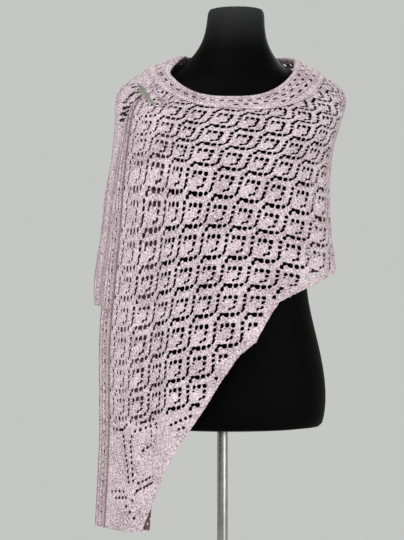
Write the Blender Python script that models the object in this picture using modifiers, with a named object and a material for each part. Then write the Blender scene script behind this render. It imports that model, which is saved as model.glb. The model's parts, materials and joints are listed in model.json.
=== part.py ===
"""A knitted lace shawl wrapped over a limbless dress form on a stand.

Metres, +Z up. The origin is on the floor under the middle of the base plate, +X is the viewer's
right and the front faces -Y. The cloth follows one draped surface, given by rings around the form.
A point of it is named by its turn round the form and by its ring. The lace is laid on that surface
by column and row numbers, one number for each repeat of the leaf pattern.
"""
import math
from collections import namedtuple

import bmesh
import bpy
import numpy as np

# Driving sizes
GAP = 0.0003                # between touching pieces
WALL = 0.002                # thickness of the knitted cloth
TORSO_BOTTOM = 0.850
POLE_RADIUS = 0.0095
POLE_DEPTH = 0.060          # length of the pole inside the form
BASE_RADIUS = 0.155
BASE_THICK = 0.008
SOCKET_RADIUS = 0.017
SOCKET_HEIGHT = 0.045

TORSO_SIDES = 40
ROUND_SIDES = 32
BASE_SIDES = 48
BASE_BEVEL = 0.0015
SOCKET_BEVEL = 0.002
POLE_BEVEL = 0.001

# The form, from its underside up
Section = namedtuple("Section", "height half_width front back shift")
TORSO = (
    Section(0.850, 0.1560, 0.098, 0.112, 0.015),
    Section(0.857, 0.1610, 0.102, 0.117, 0.015),
    Section(0.880, 0.1665, 0.105, 0.120, 0.015),
    Section(0.915, 0.1680, 0.105, 0.121, 0.015),
    Section(0.955, 0.1635, 0.103, 0.118, 0.015),
    Section(1.000, 0.1540, 0.098, 0.110, 0.015),
    Section(1.049, 0.1410, 0.092, 0.098, 0.015),
    Section(1.096, 0.1325, 0.089, 0.088, 0.015),
    Section(1.140, 0.1300, 0.091, 0.085, 0.016),
    Section(1.190, 0.1320, 0.103, 0.088, 0.016),
    Section(1.235, 0.1360, 0.117, 0.092, 0.016),
    Section(1.270, 0.1400, 0.121, 0.095, 0.016),
    Section(1.305, 0.1450, 0.114, 0.097, 0.016),
    Section(1.345, 0.1560, 0.098, 0.097, 0.016),
    Section(1.380, 0.1700, 0.085, 0.091, 0.016),
    Section(1.410, 0.1790, 0.077, 0.082, 0.016),
    Section(1.432, 0.1740, 0.072, 0.073, 0.016),
    Section(1.446, 0.1600, 0.0705, 0.066, 0.017),
    Section(1.459, 0.1372, 0.0686, 0.061, 0.017),
    Section(1.472, 0.1120, 0.064, 0.058, 0.018),
    Section(1.484, 0.0900, 0.059, 0.056, 0.018),
    Section(1.500, 0.0740, 0.056, 0.054, 0.019),
    Section(1.518, 0.0620, 0.053, 0.053, 0.021),
    Section(1.536, 0.0550, 0.051, 0.052, 0.022),
    Section(1.556, 0.0510, 0.050, 0.051, 0.023),
    Section(1.582, 0.0500, 0.050, 0.050, 0.024),
    Section(1.588, 0.0460, 0.046, 0.046, 0.024),
)

# The draped surface, ring by ring from the neckline down
Ring = namedtuple("Ring", "front_z side_z back_z left_x right_x front_y back_y")
RINGS = (
    Ring(1.423, 1.481, 1.502, -0.098, 0.127, 0.088, 0.072),
    Ring(1.407, 1.479, 1.486, -0.126, 0.152, 0.098, 0.084),
    Ring(1.389, 1.465, 1.463, -0.154, 0.181, 0.109, 0.095),
    Ring(1.368, 1.447, 1.434, -0.175, 0.206, 0.120, 0.104),
    Ring(1.345, 1.422, 1.402, -0.181, 0.215, 0.129, 0.111),
    Ring(1.318, 1.382, 1.362, -0.183, 0.204, 0.136, 0.116),
    Ring(1.288, 1.328, 1.314, -0.188, 0.191, 0.139, 0.119),
    Ring(1.250, 1.262, 1.258, -0.199, 0.187, 0.141, 0.121),
    Ring(1.190, 1.190, 1.190, -0.207, 0.190, 0.141, 0.122),
    Ring(1.120, 1.120, 1.120, -0.218, 0.199, 0.140, 0.122),
    Ring(1.040, 1.040, 1.040, -0.226, 0.203, 0.138, 0.121),
    Ring(0.950, 0.950, 0.950, -0.225, 0.205, 0.136, 0.120),
    Ring(0.850, 0.850, 0.850, -0.223, 0.206, 0.133, 0.118),
    Ring(0.750, 0.750, 0.750, -0.226, 0.206, 0.130, 0.116),
    Ring(0.650, 0.650, 0.650, -0.230, 0.206, 0.127, 0.114),
)
FULLNESS = 0.035            # how much fuller than an ellipse the rings are between their axes
SHOULDER_POWER = 3          # how sharply the rings rise towards the shoulders
NORMAL_STEP = 0.01          # step along turn and ring for the normal's differences
RING_STEPS = 24             # halvings when a ring is sought
WAY_STEPS = 24              # repeats when a place and its ring are sought together
WAY_SHARE = 0.35            # how far each repeat moves towards the place it finds
LIMIT_STEPS = 18            # halvings when a row's limit is sought

# The neckline closes in on the neck at the sides: turns in degrees, and shifts in metres
NECK_RINGS = 1.4            # rings down to which it does
NECK_START = 62.0
NECK_FULL = 95.0
NECK_EASE = 110.0
NECK_END = 175.0
NECK_LEFT = 0.034
NECK_RIGHT = -0.007
NECK_RISE = 0.018

# Soft folds: turn and width in degrees, depth outwards in metres, first and last ring
Fold = namedtuple("Fold", "turn width depth first last")
FOLDS = (
    Fold(-39, 4.0, 0.0045, 4.0, 14.0),
    Fold(-30, 4.5, -0.0040, 4.5, 14.0),
    Fold(-21, 5.0, 0.0035, 5.0, 13.0),
    Fold(20, 9.0, -0.0030, 6.0, 12.0),
    Fold(62, 7.0, 0.0040, 3.0, 9.0),
    Fold(104, 7.0, -0.0050, 3.0, 10.0),
    Fold(126, 8.0, 0.0060, 2.5, 10.0),
    Fold(150, 9.0, -0.0050, 3.0, 10.0),
    Fold(181, 9.0, 0.0060, 2.5, 10.0),
    Fold(208, 9.0, -0.0050, 3.5, 10.0),
    Fold(232, 7.0, 0.0060, 2.5, 10.0),
    Fold(252, 5.0, -0.0060, 3.0, 10.0),
    Fold(265, 5.0, 0.0060, 2.5, 10.0),
    Fold(277, 4.0, -0.0060, 3.0, 10.0),
    Fold(287, 4.0, 0.0050, 3.0, 10.0),
)

# Lace rows. level: height at column 3. start: way round from the front middle to column 3.
# groove: way round to the front's free left edge. pitch: width of one repeat right of column 3.
# tilt and bend: how the row climbs with each column and with its square.
LaceRow = namedtuple("LaceRow", "row level start groove pitch tilt bend")
LACE_ROWS = (
    LaceRow(-4, 1.510, 0.020, -0.112, 0.034, -0.0070, 0.0000),
    LaceRow(-2, 1.468, 0.005, -0.132, 0.038, -0.0070, 0.0000),
    LaceRow(0, 1.421, -0.012, -0.156, 0.043, -0.0070, 0.0000),
    LaceRow(1, 1.395, -0.028, -0.171, 0.046, -0.0065, 0.0000),
    LaceRow(2, 1.365, -0.051, -0.173, 0.050, -0.0070, 0.0000),
    LaceRow(3, 1.334, -0.065, -0.171, 0.051, -0.0072, 0.0000),
    LaceRow(4, 1.297, -0.062, -0.168, 0.047, -0.0070, 0.0002),
    LaceRow(5, 1.241, -0.058, -0.164, 0.040, -0.0015, 0.0011),
    LaceRow(6, 1.184, -0.063, -0.166, 0.036, 0.0050, 0.0018),
    LaceRow(7, 1.128, -0.069, -0.170, 0.035, 0.0070, 0.0019),
    LaceRow(8, 1.076, -0.073, -0.173, 0.033, 0.0070, 0.0014),
    LaceRow(10, 0.973, -0.085, -0.181, 0.035, 0.0080, 0.0010),
    LaceRow(12, 0.879, -0.088, -0.183, 0.036, 0.0080, 0.0010),
    LaceRow(14, 0.785, -0.090, -0.185, 0.036, 0.0060, 0.0008),
    LaceRow(17, 0.645, -0.090, -0.190, 0.036, 0.0040, 0.0006),
)
EDGE_COLUMN = -0.3          # column number of the front's free left edge
MIDDLE_COLUMN = 3.0
SIDE_COLUMN = 10.0          # the seam between front and back, at the viewer's right
LAST_COLUMN = 22.0          # where the back stretch ends, beside the tail fold
TILT_REACH = 5.5            # columns past the middle one over which a row climbs or falls
BACK_TOP = 1.500            # height of row -4 on the back
BACK_PITCH = 0.038          # height of one repeat on the back
BACK_BLEND = 4.0            # columns over which the front's rows turn into the back's
DROOP = 0.030               # how far the back's rows sink towards its end
DROOP_START = 16.0
DROOP_COLUMNS = 6.0
DROOP_ROW = -2.0
DROOP_ROWS = 8.0
CLIMB_START = -2.0          # columns past the middle one from which a row climbs
COLUMN_TURN = 0.25          # turn of one column, as a first guess
FIRST_ROW = -4
END_ROW = 17

# The hem: way round from the front middle, height
HEM = (
    (-0.210, 0.690),
    (-0.150, 0.682),
    (-0.124, 0.684),
    (-0.117, 0.705),
    (-0.099, 0.761),
    (-0.065, 0.831),
    (-0.021, 0.895),
    (0.005, 0.938),
    (0.036, 0.982),
    (0.065, 1.005),
    (0.090, 1.050),
    (0.104, 1.073),
    (0.152, 1.097),
    (0.187, 1.111),
    (0.262, 1.133),
)
BACK_HEM_START = 1.133
BACK_HEM_END = 1.064

# Tail fold and collar
SEAM_RING = 0.42            # where the collar's inner arm meets the lace
SEAM_RING_GAP = 0.05        # rings between that arm and the lace
SIDE_GAP = 0.008            # columns between each stretch and their seam
WELD = 0.0004               # points nearer than this are joined
FOLD_TOP_RING = 3.30
END_GAP = 0.0020            # from the back stretch's end to the tail fold
FOLD_WIDTH = 0.034          # how far the tail fold shows beyond the groove
FOLD_START_RING = 2.00      # where it begins to show
FOLD_START_RINGS = 0.85
FOLD_FULL_RING = 3.0        # from here it widens from its upper share to the whole
FOLD_FULL_RINGS = 6.0
FOLD_UPPER_SHARE = 0.37
FOLD_STATIONS = 22
FOLD_SPREAD = 1.5           # the stations lie closer together towards the top
FOLD_TUCK = 0.009           # how far its front arm runs in under the front
FOLD_BACK_REACH = 0.075     # how far its back arm runs in behind the front
FOLD_BOTTOM = 0.688
ARM_OUT = 0.004             # middle of each arm from the draped surface
ARM_UPPER_SHARE = 0.62      # share of that at the top
ARM_RINGS = 3.0             # rings over which it grows
ARM_TURN = -1.0             # turn of the fold, as a first guess
ARM_BACK_OFF = 0.002        # from the groove to the first point outside it
ROLL_ANGLES = (45, 90, 135)
FRONT_LIFT = 0.0068         # how far the front's free edge stands over the tail fold
LIFT_COLUMN = 0.3
LIFT_COLUMNS = 2.2
LIFT_RING = 1.5
LIFT_RINGS = 0.7
FLAP_OUT = 0.0060           # middle of the collar's outer arm
ROLL_RING = 0.22            # where the collar starts to roll over
ROLL_RISE = 0.13            # how many rings it rises
FLAP_SHARES = (0.0, 0.33, 0.67, 1.0)
COLLAR_STATIONS = 26
COLLAR_GAP = 0.15           # turn in degrees between each length of the collar and its seam
COLLAR_SEAM_LEFT = -64.0
COLLAR_SEAM_RIGHT = 90.0
# The collar's lower edge: turn in degrees, ring
COLLAR_EDGE = (
    (-64, 1.25),
    (-30, 1.15),
    (0, 1.30),
    (55, 2.15),
    (90, 1.75),
    (180, 1.60),
    (250, 1.40),
    (296, 1.25),
)

# The shawl pin: turn in degrees, ring, height over the surface, half its width and half its thickness
PinPoint = namedtuple("PinPoint", "turn ring out half_width half_thick")
PIN = (
    PinPoint(-65.2, 2.08, 0.0108, 0.0012, 0.0008),
    PinPoint(-61.8, 2.13, 0.0108, 0.0030, 0.0010),
    PinPoint(-57.0, 2.21, 0.0109, 0.0044, 0.0011),
    PinPoint(-52.5, 2.29, 0.0109, 0.0042, 0.0012),
    PinPoint(-48.5, 2.39, 0.0109, 0.0028, 0.0013),
    PinPoint(-45.5, 2.49, 0.0108, 0.0017, 0.0014),
    PinPoint(-43.0, 2.52, 0.0106, 0.0015, 0.0014),
    PinPoint(-41.0, 2.43, 0.0104, 0.0014, 0.0014),
    PinPoint(-40.8, 2.24, 0.0102, 0.0013, 0.0013),
    PinPoint(-41.8, 2.06, 0.0100, 0.0012, 0.0012),
    PinPoint(-44.0, 1.92, 0.0098, 0.0012, 0.0012),
    PinPoint(-45.8, 1.91, 0.0098, 0.0011, 0.0011),
    PinPoint(-45.8, 2.01, 0.0100, 0.0010, 0.0010),
)
PIN_STATIONS = 32
PIN_SIDES = 8

# Holes of each repeat, as shares of its width and height
HOLE_COLUMNS = (0.14, 0.32, 0.42, 0.60)
HOLE_ROWS = (0.74, 0.90)
SHOULDER_ROWS = (0.12, 0.43)
LAST_SHOULDER_ROW = 2       # extra grid lines above this row, where the cloth turns over the shoulder
BACK_HOLE_COLUMNS = (0.32, 0.52)
HOLE_MARGIN = 0.35          # rows kept whole along the edges
FIRST_HOLE_ROW = -1         # the lace is gathered shut above this row
LAST_HOLE_ROW = 12          # the solid border lies below this row
FIRST_HOLE_COLUMN = 1       # the lace is doubled left of this column


def clear_scene():
    for item in list(bpy.data.objects):
        bpy.data.objects.remove(item, do_unlink=True)


def new_collection(name):
    collection = bpy.data.collections.new(name)
    bpy.context.scene.collection.children.link(collection)
    return collection


def make_material(name, colour, roughness, metallic):
    material = bpy.data.materials.new(name)
    material.use_nodes = True
    shader = material.node_tree.nodes["Principled BSDF"]
    shader.inputs["Base Color"].default_value = (*colour, 1.0)
    shader.inputs["Roughness"].default_value = roughness
    shader.inputs["Metallic"].default_value = metallic
    material.diffuse_color = (*colour, 1.0)
    return material


def smooth_rows(rows, place):
    """Read a table between its rows, on a smooth curve through them."""
    last = len(rows) - 1
    place = np.clip(np.asarray(place, float), 0, last)
    index = np.clip(np.floor(place).astype(int), 0, last - 1)
    share = (place - index)[..., None]
    here, after = rows[index], rows[index + 1]
    before = np.where((index > 0)[..., None], rows[np.maximum(index - 1, 0)], 2 * here - after)
    beyond = np.where((index < last - 1)[..., None], rows[np.minimum(index + 2, last)], 2 * after - here)
    leave, arrive = (after - before) / 2, (beyond - here) / 2
    square = 3 * (after - here) - 2 * leave - arrive
    cube = 2 * (here - after) + leave + arrive
    return here + share * (leave + share * (square + share * cube))


def ease(value):
    """A smooth step from 0 to 1."""
    value = np.clip(value, 0.0, 1.0)
    return value * value * (3 - 2 * value)


RING_TABLE = np.array(RINGS)
ROW_TABLE = np.array(LACE_ROWS)


def ring_sizes(ring):
    return np.moveaxis(smooth_rows(RING_TABLE, ring), -1, 0)


def fold_depth(turn, ring):
    """How far the folds move the cloth outwards."""
    degrees = np.degrees(turn)
    total = np.zeros(np.broadcast(turn, ring).shape)
    for fold in FOLDS:
        shape = np.exp(-((degrees - fold.turn) / fold.width) ** 2)
        total = total + fold.depth * shape * ease(ring - fold.first) * ease(fold.last - ring)
    return total


def neck_share(turn, ring):
    """How far the neckline closes in on the neck, signed by its side."""
    around = np.degrees(np.arctan2(np.sin(turn), np.cos(turn)))
    opening = ease((np.abs(around) - NECK_START) / (NECK_FULL - NECK_START))
    closing = ease((np.abs(around) - NECK_EASE) / (NECK_END - NECK_EASE))
    return np.sign(around) * opening * (1 - closing) * np.clip(1 - ring / NECK_RINGS, 0, 1) ** 2


def bare_surface(turn, ring):
    front_z, side_z, back_z, left, right, front, back = ring_sizes(ring)
    across, ahead = np.sin(turn), np.cos(turn)
    full = 1 + FULLNESS * np.sin(2 * turn) ** 2
    end_z = np.where(ahead > 0, front_z, back_z)
    x = (left + right) / 2 + (right - left) / 2 * across * full
    y = -np.where(ahead > 0, front, back) * ahead * full
    z = side_z + (end_z - side_z) * (1 - np.abs(across) ** SHOULDER_POWER)
    neck = neck_share(turn, ring)
    x = x + np.maximum(neck, 0) * NECK_RIGHT + np.maximum(-neck, 0) * NECK_LEFT
    return np.stack([x, y, z + np.abs(neck) * NECK_RISE], -1)


def drape(turn, ring, out=0.0):
    """A point of the draped cloth, moved out along the surface's normal."""
    turn, ring = np.asarray(turn, float), np.asarray(ring, float)
    step = NORMAL_STEP
    point = bare_surface(turn, ring)
    along = bare_surface(turn + step, ring) - bare_surface(turn - step, ring)
    low = np.clip(ring - step, 0, len(RINGS) - 1 - 2 * step)
    down = bare_surface(turn, low + 2 * step) - bare_surface(turn, low)
    normal = np.cross(down, along)
    normal /= np.linalg.norm(normal, axis=-1, keepdims=True)
    return point + normal * (fold_depth(turn, ring) + out)[..., None]


def ring_of_height(turn, height):
    """The ring at which the surface has a height."""
    low = np.zeros(np.broadcast(turn, height).shape)
    high = low + len(RINGS) - 1.0
    for _ in range(RING_STEPS):
        middle = (low + high) / 2
        is_below = bare_surface(turn, middle)[..., 2] < height
        high = np.where(is_below, middle, high)
        low = np.where(is_below, low, middle)
    return (low + high) / 2


def ellipse_of_ring(ring):
    """Mean radius and flatness of a ring."""
    _, _, _, left, right, front, back = ring_sizes(ring)
    half_width, depth = (right - left) / 2, (front + back) / 2
    return (half_width + depth) / 2, (half_width - depth) / (half_width + depth)


def turn_of_way(way, ring):
    radius, flat = ellipse_of_ring(ring)
    even = way / radius
    return even - flat / 2 * np.sin(2 * even) + flat * flat / 4 * np.sin(4 * even)


def way_of_turn(turn, ring):
    radius, flat = ellipse_of_ring(ring)
    return radius * (turn + flat / 2 * np.sin(2 * turn))


def row_sizes(row):
    place = np.interp(row, ROW_TABLE[:, 0], np.arange(len(LACE_ROWS)))
    return np.moveaxis(smooth_rows(ROW_TABLE, place), -1, 0)


def groove_of_height(height):
    """Way round from the front middle to the front's free edge."""
    return np.interp(-height, -ROW_TABLE[:, 1], ROW_TABLE[:, 3])


def fold_width(ring):
    """How far the tail fold shows beyond the groove: nothing above its top."""
    grown = ease((ring - FOLD_FULL_RING) / FOLD_FULL_RINGS)
    share = FOLD_UPPER_SHARE + (1 - FOLD_UPPER_SHARE) * grown
    return FOLD_WIDTH * ease((ring - FOLD_START_RING) / FOLD_START_RINGS) * share


def lace_place(column, row):
    """Turn and ring of a point of the lace, from its column and row numbers."""
    column, row = np.broadcast_arrays(np.asarray(column, float), np.asarray(row, float))
    _, level, start, _, pitch, tilt, bend = row_sizes(row)
    past = column - MIDDLE_COLUMN
    climb = np.clip(past, CLIMB_START, TILT_REACH)
    front_height = level + tilt * climb - bend * np.maximum(climb, 0) ** 2
    back_height = BACK_TOP - BACK_PITCH * (row - FIRST_ROW)
    share = ease((column - SIDE_COLUMN) / BACK_BLEND)
    height = front_height + (back_height - front_height) * share
    sunk = ease((column - DROOP_START) / DROOP_COLUMNS) * ease((row - DROOP_ROW) / DROOP_ROWS)
    height = height - DROOP * sunk
    groove = groove_of_height(height)
    turn = past * COLUMN_TURN
    for _ in range(WAY_STEPS):
        ring = ring_of_height(turn, height)
        side = way_of_turn(math.pi / 2, ring)
        end = way_of_turn(2 * math.pi, ring) + groove - fold_width(ring) - END_GAP
        reach = SIDE_COLUMN - MIDDLE_COLUMN
        widen = (side - start - pitch * reach) / reach ** 2
        left_way = start + past * (start - groove) / (MIDDLE_COLUMN - EDGE_COLUMN)
        right_way = start + pitch * past + widen * past ** 2
        back_way = side + (end - side) * (column - SIDE_COLUMN) / (LAST_COLUMN - SIDE_COLUMN)
        way = np.where(past < 0, left_way, np.where(column < SIDE_COLUMN, right_way, back_way))
        turn = turn + (turn_of_way(way, ring) - turn) * WAY_SHARE
    return turn, ring, way, height


def hem_height(way, column):
    hem = np.array(HEM)
    front = np.interp(way, hem[:, 0], hem[:, 1])
    share = (column - SIDE_COLUMN) / (LAST_COLUMN - SIDE_COLUMN)
    back = BACK_HEM_START + (BACK_HEM_END - BACK_HEM_START) * share
    return np.where(column > SIDE_COLUMN, back, front)


def lace_limits(columns):
    """First and last row of the lace in each column, at the collar and at the hem."""
    limits = []
    for is_hem in (False, True):
        low = np.full(len(columns), float(FIRST_ROW))
        high = np.full(len(columns), float(END_ROW))
        for _ in range(LIMIT_STEPS):
            middle = (low + high) / 2
            _, ring, way, height = lace_place(columns, middle)
            if is_hem:
                is_past = height < hem_height(way, columns)
            else:
                is_past = ring > SEAM_RING + SEAM_RING_GAP
            high = np.where(is_past, middle, high)
            low = np.where(is_past, low, middle)
        limits.append((low + high) / 2)
    return limits


def front_lift(column, ring):
    """The front stands clear of the tail fold under its free edge."""
    sideways = 1 - ease((column - LIFT_COLUMN) / LIFT_COLUMNS)
    return FRONT_LIFT * sideways * ease((ring - LIFT_RING) / LIFT_RINGS)


def cloth_object(name, points, faces, material, collection):
    """A cloth wall round a middle surface given by points and faces."""
    mesh = bpy.data.meshes.new(name)
    mesh.from_pydata([tuple(point) for point in points], [], faces)
    work = bmesh.new()
    work.from_mesh(mesh)
    bmesh.ops.remove_doubles(work, verts=work.verts, dist=WELD)
    bmesh.ops.dissolve_degenerate(work, edges=work.edges, dist=WELD)
    loose = [vert for vert in work.verts if not vert.link_faces]
    bmesh.ops.delete(work, geom=loose, context="VERTS")
    bmesh.ops.recalc_face_normals(work, faces=work.faces)
    work.to_mesh(mesh)
    work.free()
    mesh.materials.append(material)
    cloth = bpy.data.objects.new(name, mesh)
    collection.objects.link(cloth)
    wall = cloth.modifiers.new("Wall", "SOLIDIFY")
    wall.thickness = WALL
    wall.offset = 0.0
    wall.use_even_offset = False
    return cloth


def lace_lines(first, last, shares):
    """Grid lines at shares of each repeat, with both ends."""
    lines = {first, last}
    for whole in range(math.floor(first), math.ceil(last)):
        lines.update(whole + share for share in shares if first < whole + share < last)
    return np.array(sorted(lines))


def make_lace(name, first, last, hole_shares, lift, material, collection):
    """A stretch of lace between two columns, with the widest holes of each repeat cut through."""
    columns = lace_lines(first, last, hole_shares)
    upper = lace_lines(FIRST_ROW, LAST_SHOULDER_ROW, SHOULDER_ROWS)
    rows = np.union1d(lace_lines(FIRST_ROW, END_ROW, HOLE_ROWS), upper)
    top, hem = lace_limits(columns)
    row_grid = np.clip(rows[None, :], top[:, None], hem[:, None])
    column_grid = np.repeat(columns[:, None], len(rows), 1)
    turn, ring, _, _ = lace_place(column_grid, row_grid)
    points = drape(turn, ring, lift(column_grid, ring) + WALL / 2)
    count = len(rows)
    faces = []
    holes = 0
    for i in range(len(columns) - 1):
        is_hole_column = round(columns[i] % 1, 3) in hole_shares[::2]
        is_hole_column = is_hole_column and round(columns[i + 1] % 1, 3) in hole_shares[1::2]
        first_whole = max(top[i], top[i + 1]) + HOLE_MARGIN
        last_whole = min(hem[i], hem[i + 1]) - HOLE_MARGIN
        for j in range(count - 1):
            is_hole_row = round(rows[j] % 1, 3) == HOLE_ROWS[0]
            is_inside = first_whole < rows[j] and rows[j + 1] < last_whole
            is_open = FIRST_HOLE_ROW < rows[j] < LAST_HOLE_ROW and columns[i] > FIRST_HOLE_COLUMN
            if is_hole_column and is_hole_row and is_inside and is_open:
                holes += 1
                continue
            corners = (i * count + j, (i + 1) * count + j, (i + 1) * count + j + 1, i * count + j + 1)
            sides = [row_grid[i, j + 1] - row_grid[i, j], row_grid[i + 1, j + 1] - row_grid[i + 1, j]]
            if max(sides) > 1e-6:
                faces.append(corners)
    print(name, "holes", holes)
    return cloth_object(name, points.reshape(-1, 3), faces, material, collection)


def make_section_sweep(name, stations, section, material, collection):
    """A strip swept through stations, each a list of points of one section."""
    points = [point for station in stations for point in section(station)]
    count = len(points) // len(stations)
    faces = []
    for i in range(len(stations) - 1):
        for j in range(count - 1):
            a = i * count + j
            faces.append((a, a + 1, a + count + 1, a + count))
    return cloth_object(name, points, faces, material, collection)


def turn_and_ring(way, height):
    """Turn and ring of points on the viewer's left, from their way round and their height."""
    turn = np.full(way.shape, ARM_TURN)
    for _ in range(WAY_STEPS):
        ring = ring_of_height(turn, height)
        turn = turn + (turn_of_way(way, ring) - turn) * WAY_SHARE
    return turn, ring


def tail_fold_section(height):
    """The U of the tail fold at one height, from its tucked front arm round to its back arm."""
    groove = groove_of_height(height)
    ring = turn_and_ring(np.array([groove]), height)[1][0]
    grown = ease((ring - FOLD_FULL_RING) / ARM_RINGS)
    arm = ARM_OUT * (ARM_UPPER_SHARE + (1 - ARM_UPPER_SHARE) * grown)
    bend = groove - fold_width(ring) + arm
    ways = [groove + FOLD_TUCK, groove - ARM_BACK_OFF, bend]
    outs = [arm, arm, arm]
    for angle in ROLL_ANGLES:
        ways.append(bend - arm * math.sin(math.radians(angle)))
        outs.append(arm * math.cos(math.radians(angle)))
    ways += [bend, groove, groove + FOLD_BACK_REACH / 2, groove + FOLD_BACK_REACH]
    outs += [-arm] * 4
    turns, rings = turn_and_ring(np.array(ways), height)
    return drape(turns, rings, np.array(outs))


def make_tail_fold(material, collection):
    ring_top = bare_surface(np.array(ARM_TURN), np.array(FOLD_TOP_RING))[2]
    shares = np.linspace(0, 1, FOLD_STATIONS) ** FOLD_SPREAD
    heights = ring_top + (FOLD_BOTTOM - ring_top) * shares
    return make_section_sweep("shawl_tail_fold", list(heights), tail_fold_section, material, collection)


def collar_section(turn):
    """The rolled collar at one turn: inner arm up, over the top and down outside."""
    edge = np.array(COLLAR_EDGE)
    low = np.interp(turn, edge[:, 0], edge[:, 1])
    roll = (FLAP_OUT - WALL / 2) / 2
    middle = roll + WALL / 2
    rings = [SEAM_RING - SEAM_RING_GAP / 2, ROLL_RING]
    outs = [WALL / 2, WALL / 2]
    for angle in ROLL_ANGLES:
        rings.append(ROLL_RING - ROLL_RISE * math.sin(math.radians(angle)))
        outs.append(middle - roll * math.cos(math.radians(angle)))
    for share in FLAP_SHARES:
        rings.append(ROLL_RING + (low - ROLL_RING) * share)
        outs.append(FLAP_OUT)
    turns = np.full(len(rings), math.radians(turn))
    return drape(turns, np.array(rings), np.array(outs))


def make_collar(name, first, last, material, collection):
    turns = np.linspace(first + COLLAR_GAP, last - COLLAR_GAP, COLLAR_STATIONS)
    return make_section_sweep(name, list(turns), collar_section, material, collection)


def make_torso(material, collection, cutters):
    """The form: a loft through its sections, closed and blind bored for the pole."""
    count = TORSO_SIDES
    mesh = bpy.data.meshes.new("form_torso")
    work = bmesh.new()
    loops = []
    for height, half_width, front, back, shift in TORSO:
        loop = []
        for k in range(count):
            angle = 2 * math.pi * k / count
            across, ahead = math.cos(angle), math.sin(angle)
            depth = back if ahead > 0 else front
            loop.append(work.verts.new((shift + half_width * across, depth * ahead, height)))
        loops.append(loop)
    for lower, upper in zip(loops, loops[1:]):
        for k in range(count):
            n = (k + 1) % count
            work.faces.new((lower[k], lower[n], upper[n], upper[k]))
    work.faces.new(loops[0][::-1])
    work.faces.new(loops[-1])
    work.to_mesh(mesh)
    work.free()
    mesh.materials.append(material)
    torso = bpy.data.objects.new("form_torso", mesh)
    collection.objects.link(torso)
    mesh.shade_smooth()
    radius = POLE_RADIUS + GAP
    depth = POLE_DEPTH + GAP
    bpy.ops.mesh.primitive_cylinder_add(vertices=ROUND_SIDES, radius=radius, depth=2 * depth,
                                        location=(0, 0, TORSO_BOTTOM))
    cutter = bpy.context.active_object
    cutter.name = "pole_bore_cutter"
    move_to(cutter, cutters)
    cutter.hide_render = True
    cutter.display_type = "WIRE"
    bore = torso.modifiers.new("Pole bore", "BOOLEAN")
    bore.operation = "DIFFERENCE"
    bore.solver = "EXACT"
    bore.object = cutter
    return torso


def move_to(item, collection):
    for home in list(item.users_collection):
        home.objects.unlink(item)
    collection.objects.link(item)


def make_round(name, radius, bottom, top, bevel, sides, material, collection):
    """An upright cylinder with softened edges."""
    bpy.ops.mesh.primitive_cylinder_add(vertices=sides, radius=radius, depth=top - bottom,
                                        location=(0, 0, (top + bottom) / 2))
    item = bpy.context.active_object
    item.name = name
    move_to(item, collection)
    item.data.materials.append(material)
    item.data.shade_smooth()
    item.data.set_sharp_from_angle(angle=math.radians(35))
    edge = item.modifiers.new("Soft edge", "BEVEL")
    edge.width = bevel
    edge.segments = 1
    edge.limit_method = "ANGLE"
    return item


def make_stand(steel, collection):
    """The base plate, the socket on it and the pole in it, face to face with a small gap."""
    foot = BASE_THICK + GAP
    top = foot + SOCKET_HEIGHT
    pole_top = TORSO_BOTTOM + POLE_DEPTH - GAP
    make_round("stand_base", BASE_RADIUS, 0.0, BASE_THICK, BASE_BEVEL, BASE_SIDES, steel, collection)
    make_round("stand_socket", SOCKET_RADIUS, foot, top, SOCKET_BEVEL, ROUND_SIDES, steel, collection)
    make_round("stand_pole", POLE_RADIUS, top + GAP, pole_top, POLE_BEVEL, ROUND_SIDES, steel, collection)


def make_pin(material, collection):
    """The shawl pin: a leaf-shaped blade that lies on the cloth and ends in an open curl of wire."""
    places = np.linspace(0, len(PIN) - 1, PIN_STATIONS)
    turn, ring, out, half_width, half_thick = np.moveaxis(smooth_rows(np.array(PIN), places), -1, 0)
    centre = drape(np.radians(turn), ring, out)
    along = np.gradient(centre, axis=0)
    side = np.cross(along, centre - drape(np.radians(turn), ring))
    side /= np.linalg.norm(side, axis=-1, keepdims=True)
    up = np.cross(side, along)
    up /= np.linalg.norm(up, axis=-1, keepdims=True)
    points = []
    for k in range(PIN_SIDES):
        angle = 2 * math.pi * k / PIN_SIDES
        across, ahead = half_width * math.cos(angle), half_thick * math.sin(angle)
        points.append(centre + side * across[:, None] + up * ahead[:, None])
    points = np.stack(points, 1).reshape(-1, 3)
    faces = [tuple(range(PIN_SIDES))[::-1], tuple(range(len(points) - PIN_SIDES, len(points)))]
    for i in range(PIN_STATIONS - 1):
        for k in range(PIN_SIDES):
            n = (k + 1) % PIN_SIDES
            low, high = i * PIN_SIDES, (i + 1) * PIN_SIDES
            faces.append((low + k, low + n, high + n, high + k))
    mesh = bpy.data.meshes.new("shawl_pin")
    mesh.from_pydata([tuple(point) for point in points], [], faces)
    work = bmesh.new()
    work.from_mesh(mesh)
    bmesh.ops.recalc_face_normals(work, faces=work.faces)
    work.to_mesh(mesh)
    work.free()
    mesh.materials.append(material)
    mesh.shade_smooth()
    pin = bpy.data.objects.new("shawl_pin", mesh)
    collection.objects.link(pin)
    return pin


def no_lift(column, ring):
    return np.zeros(np.broadcast(column, ring).shape)


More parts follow.
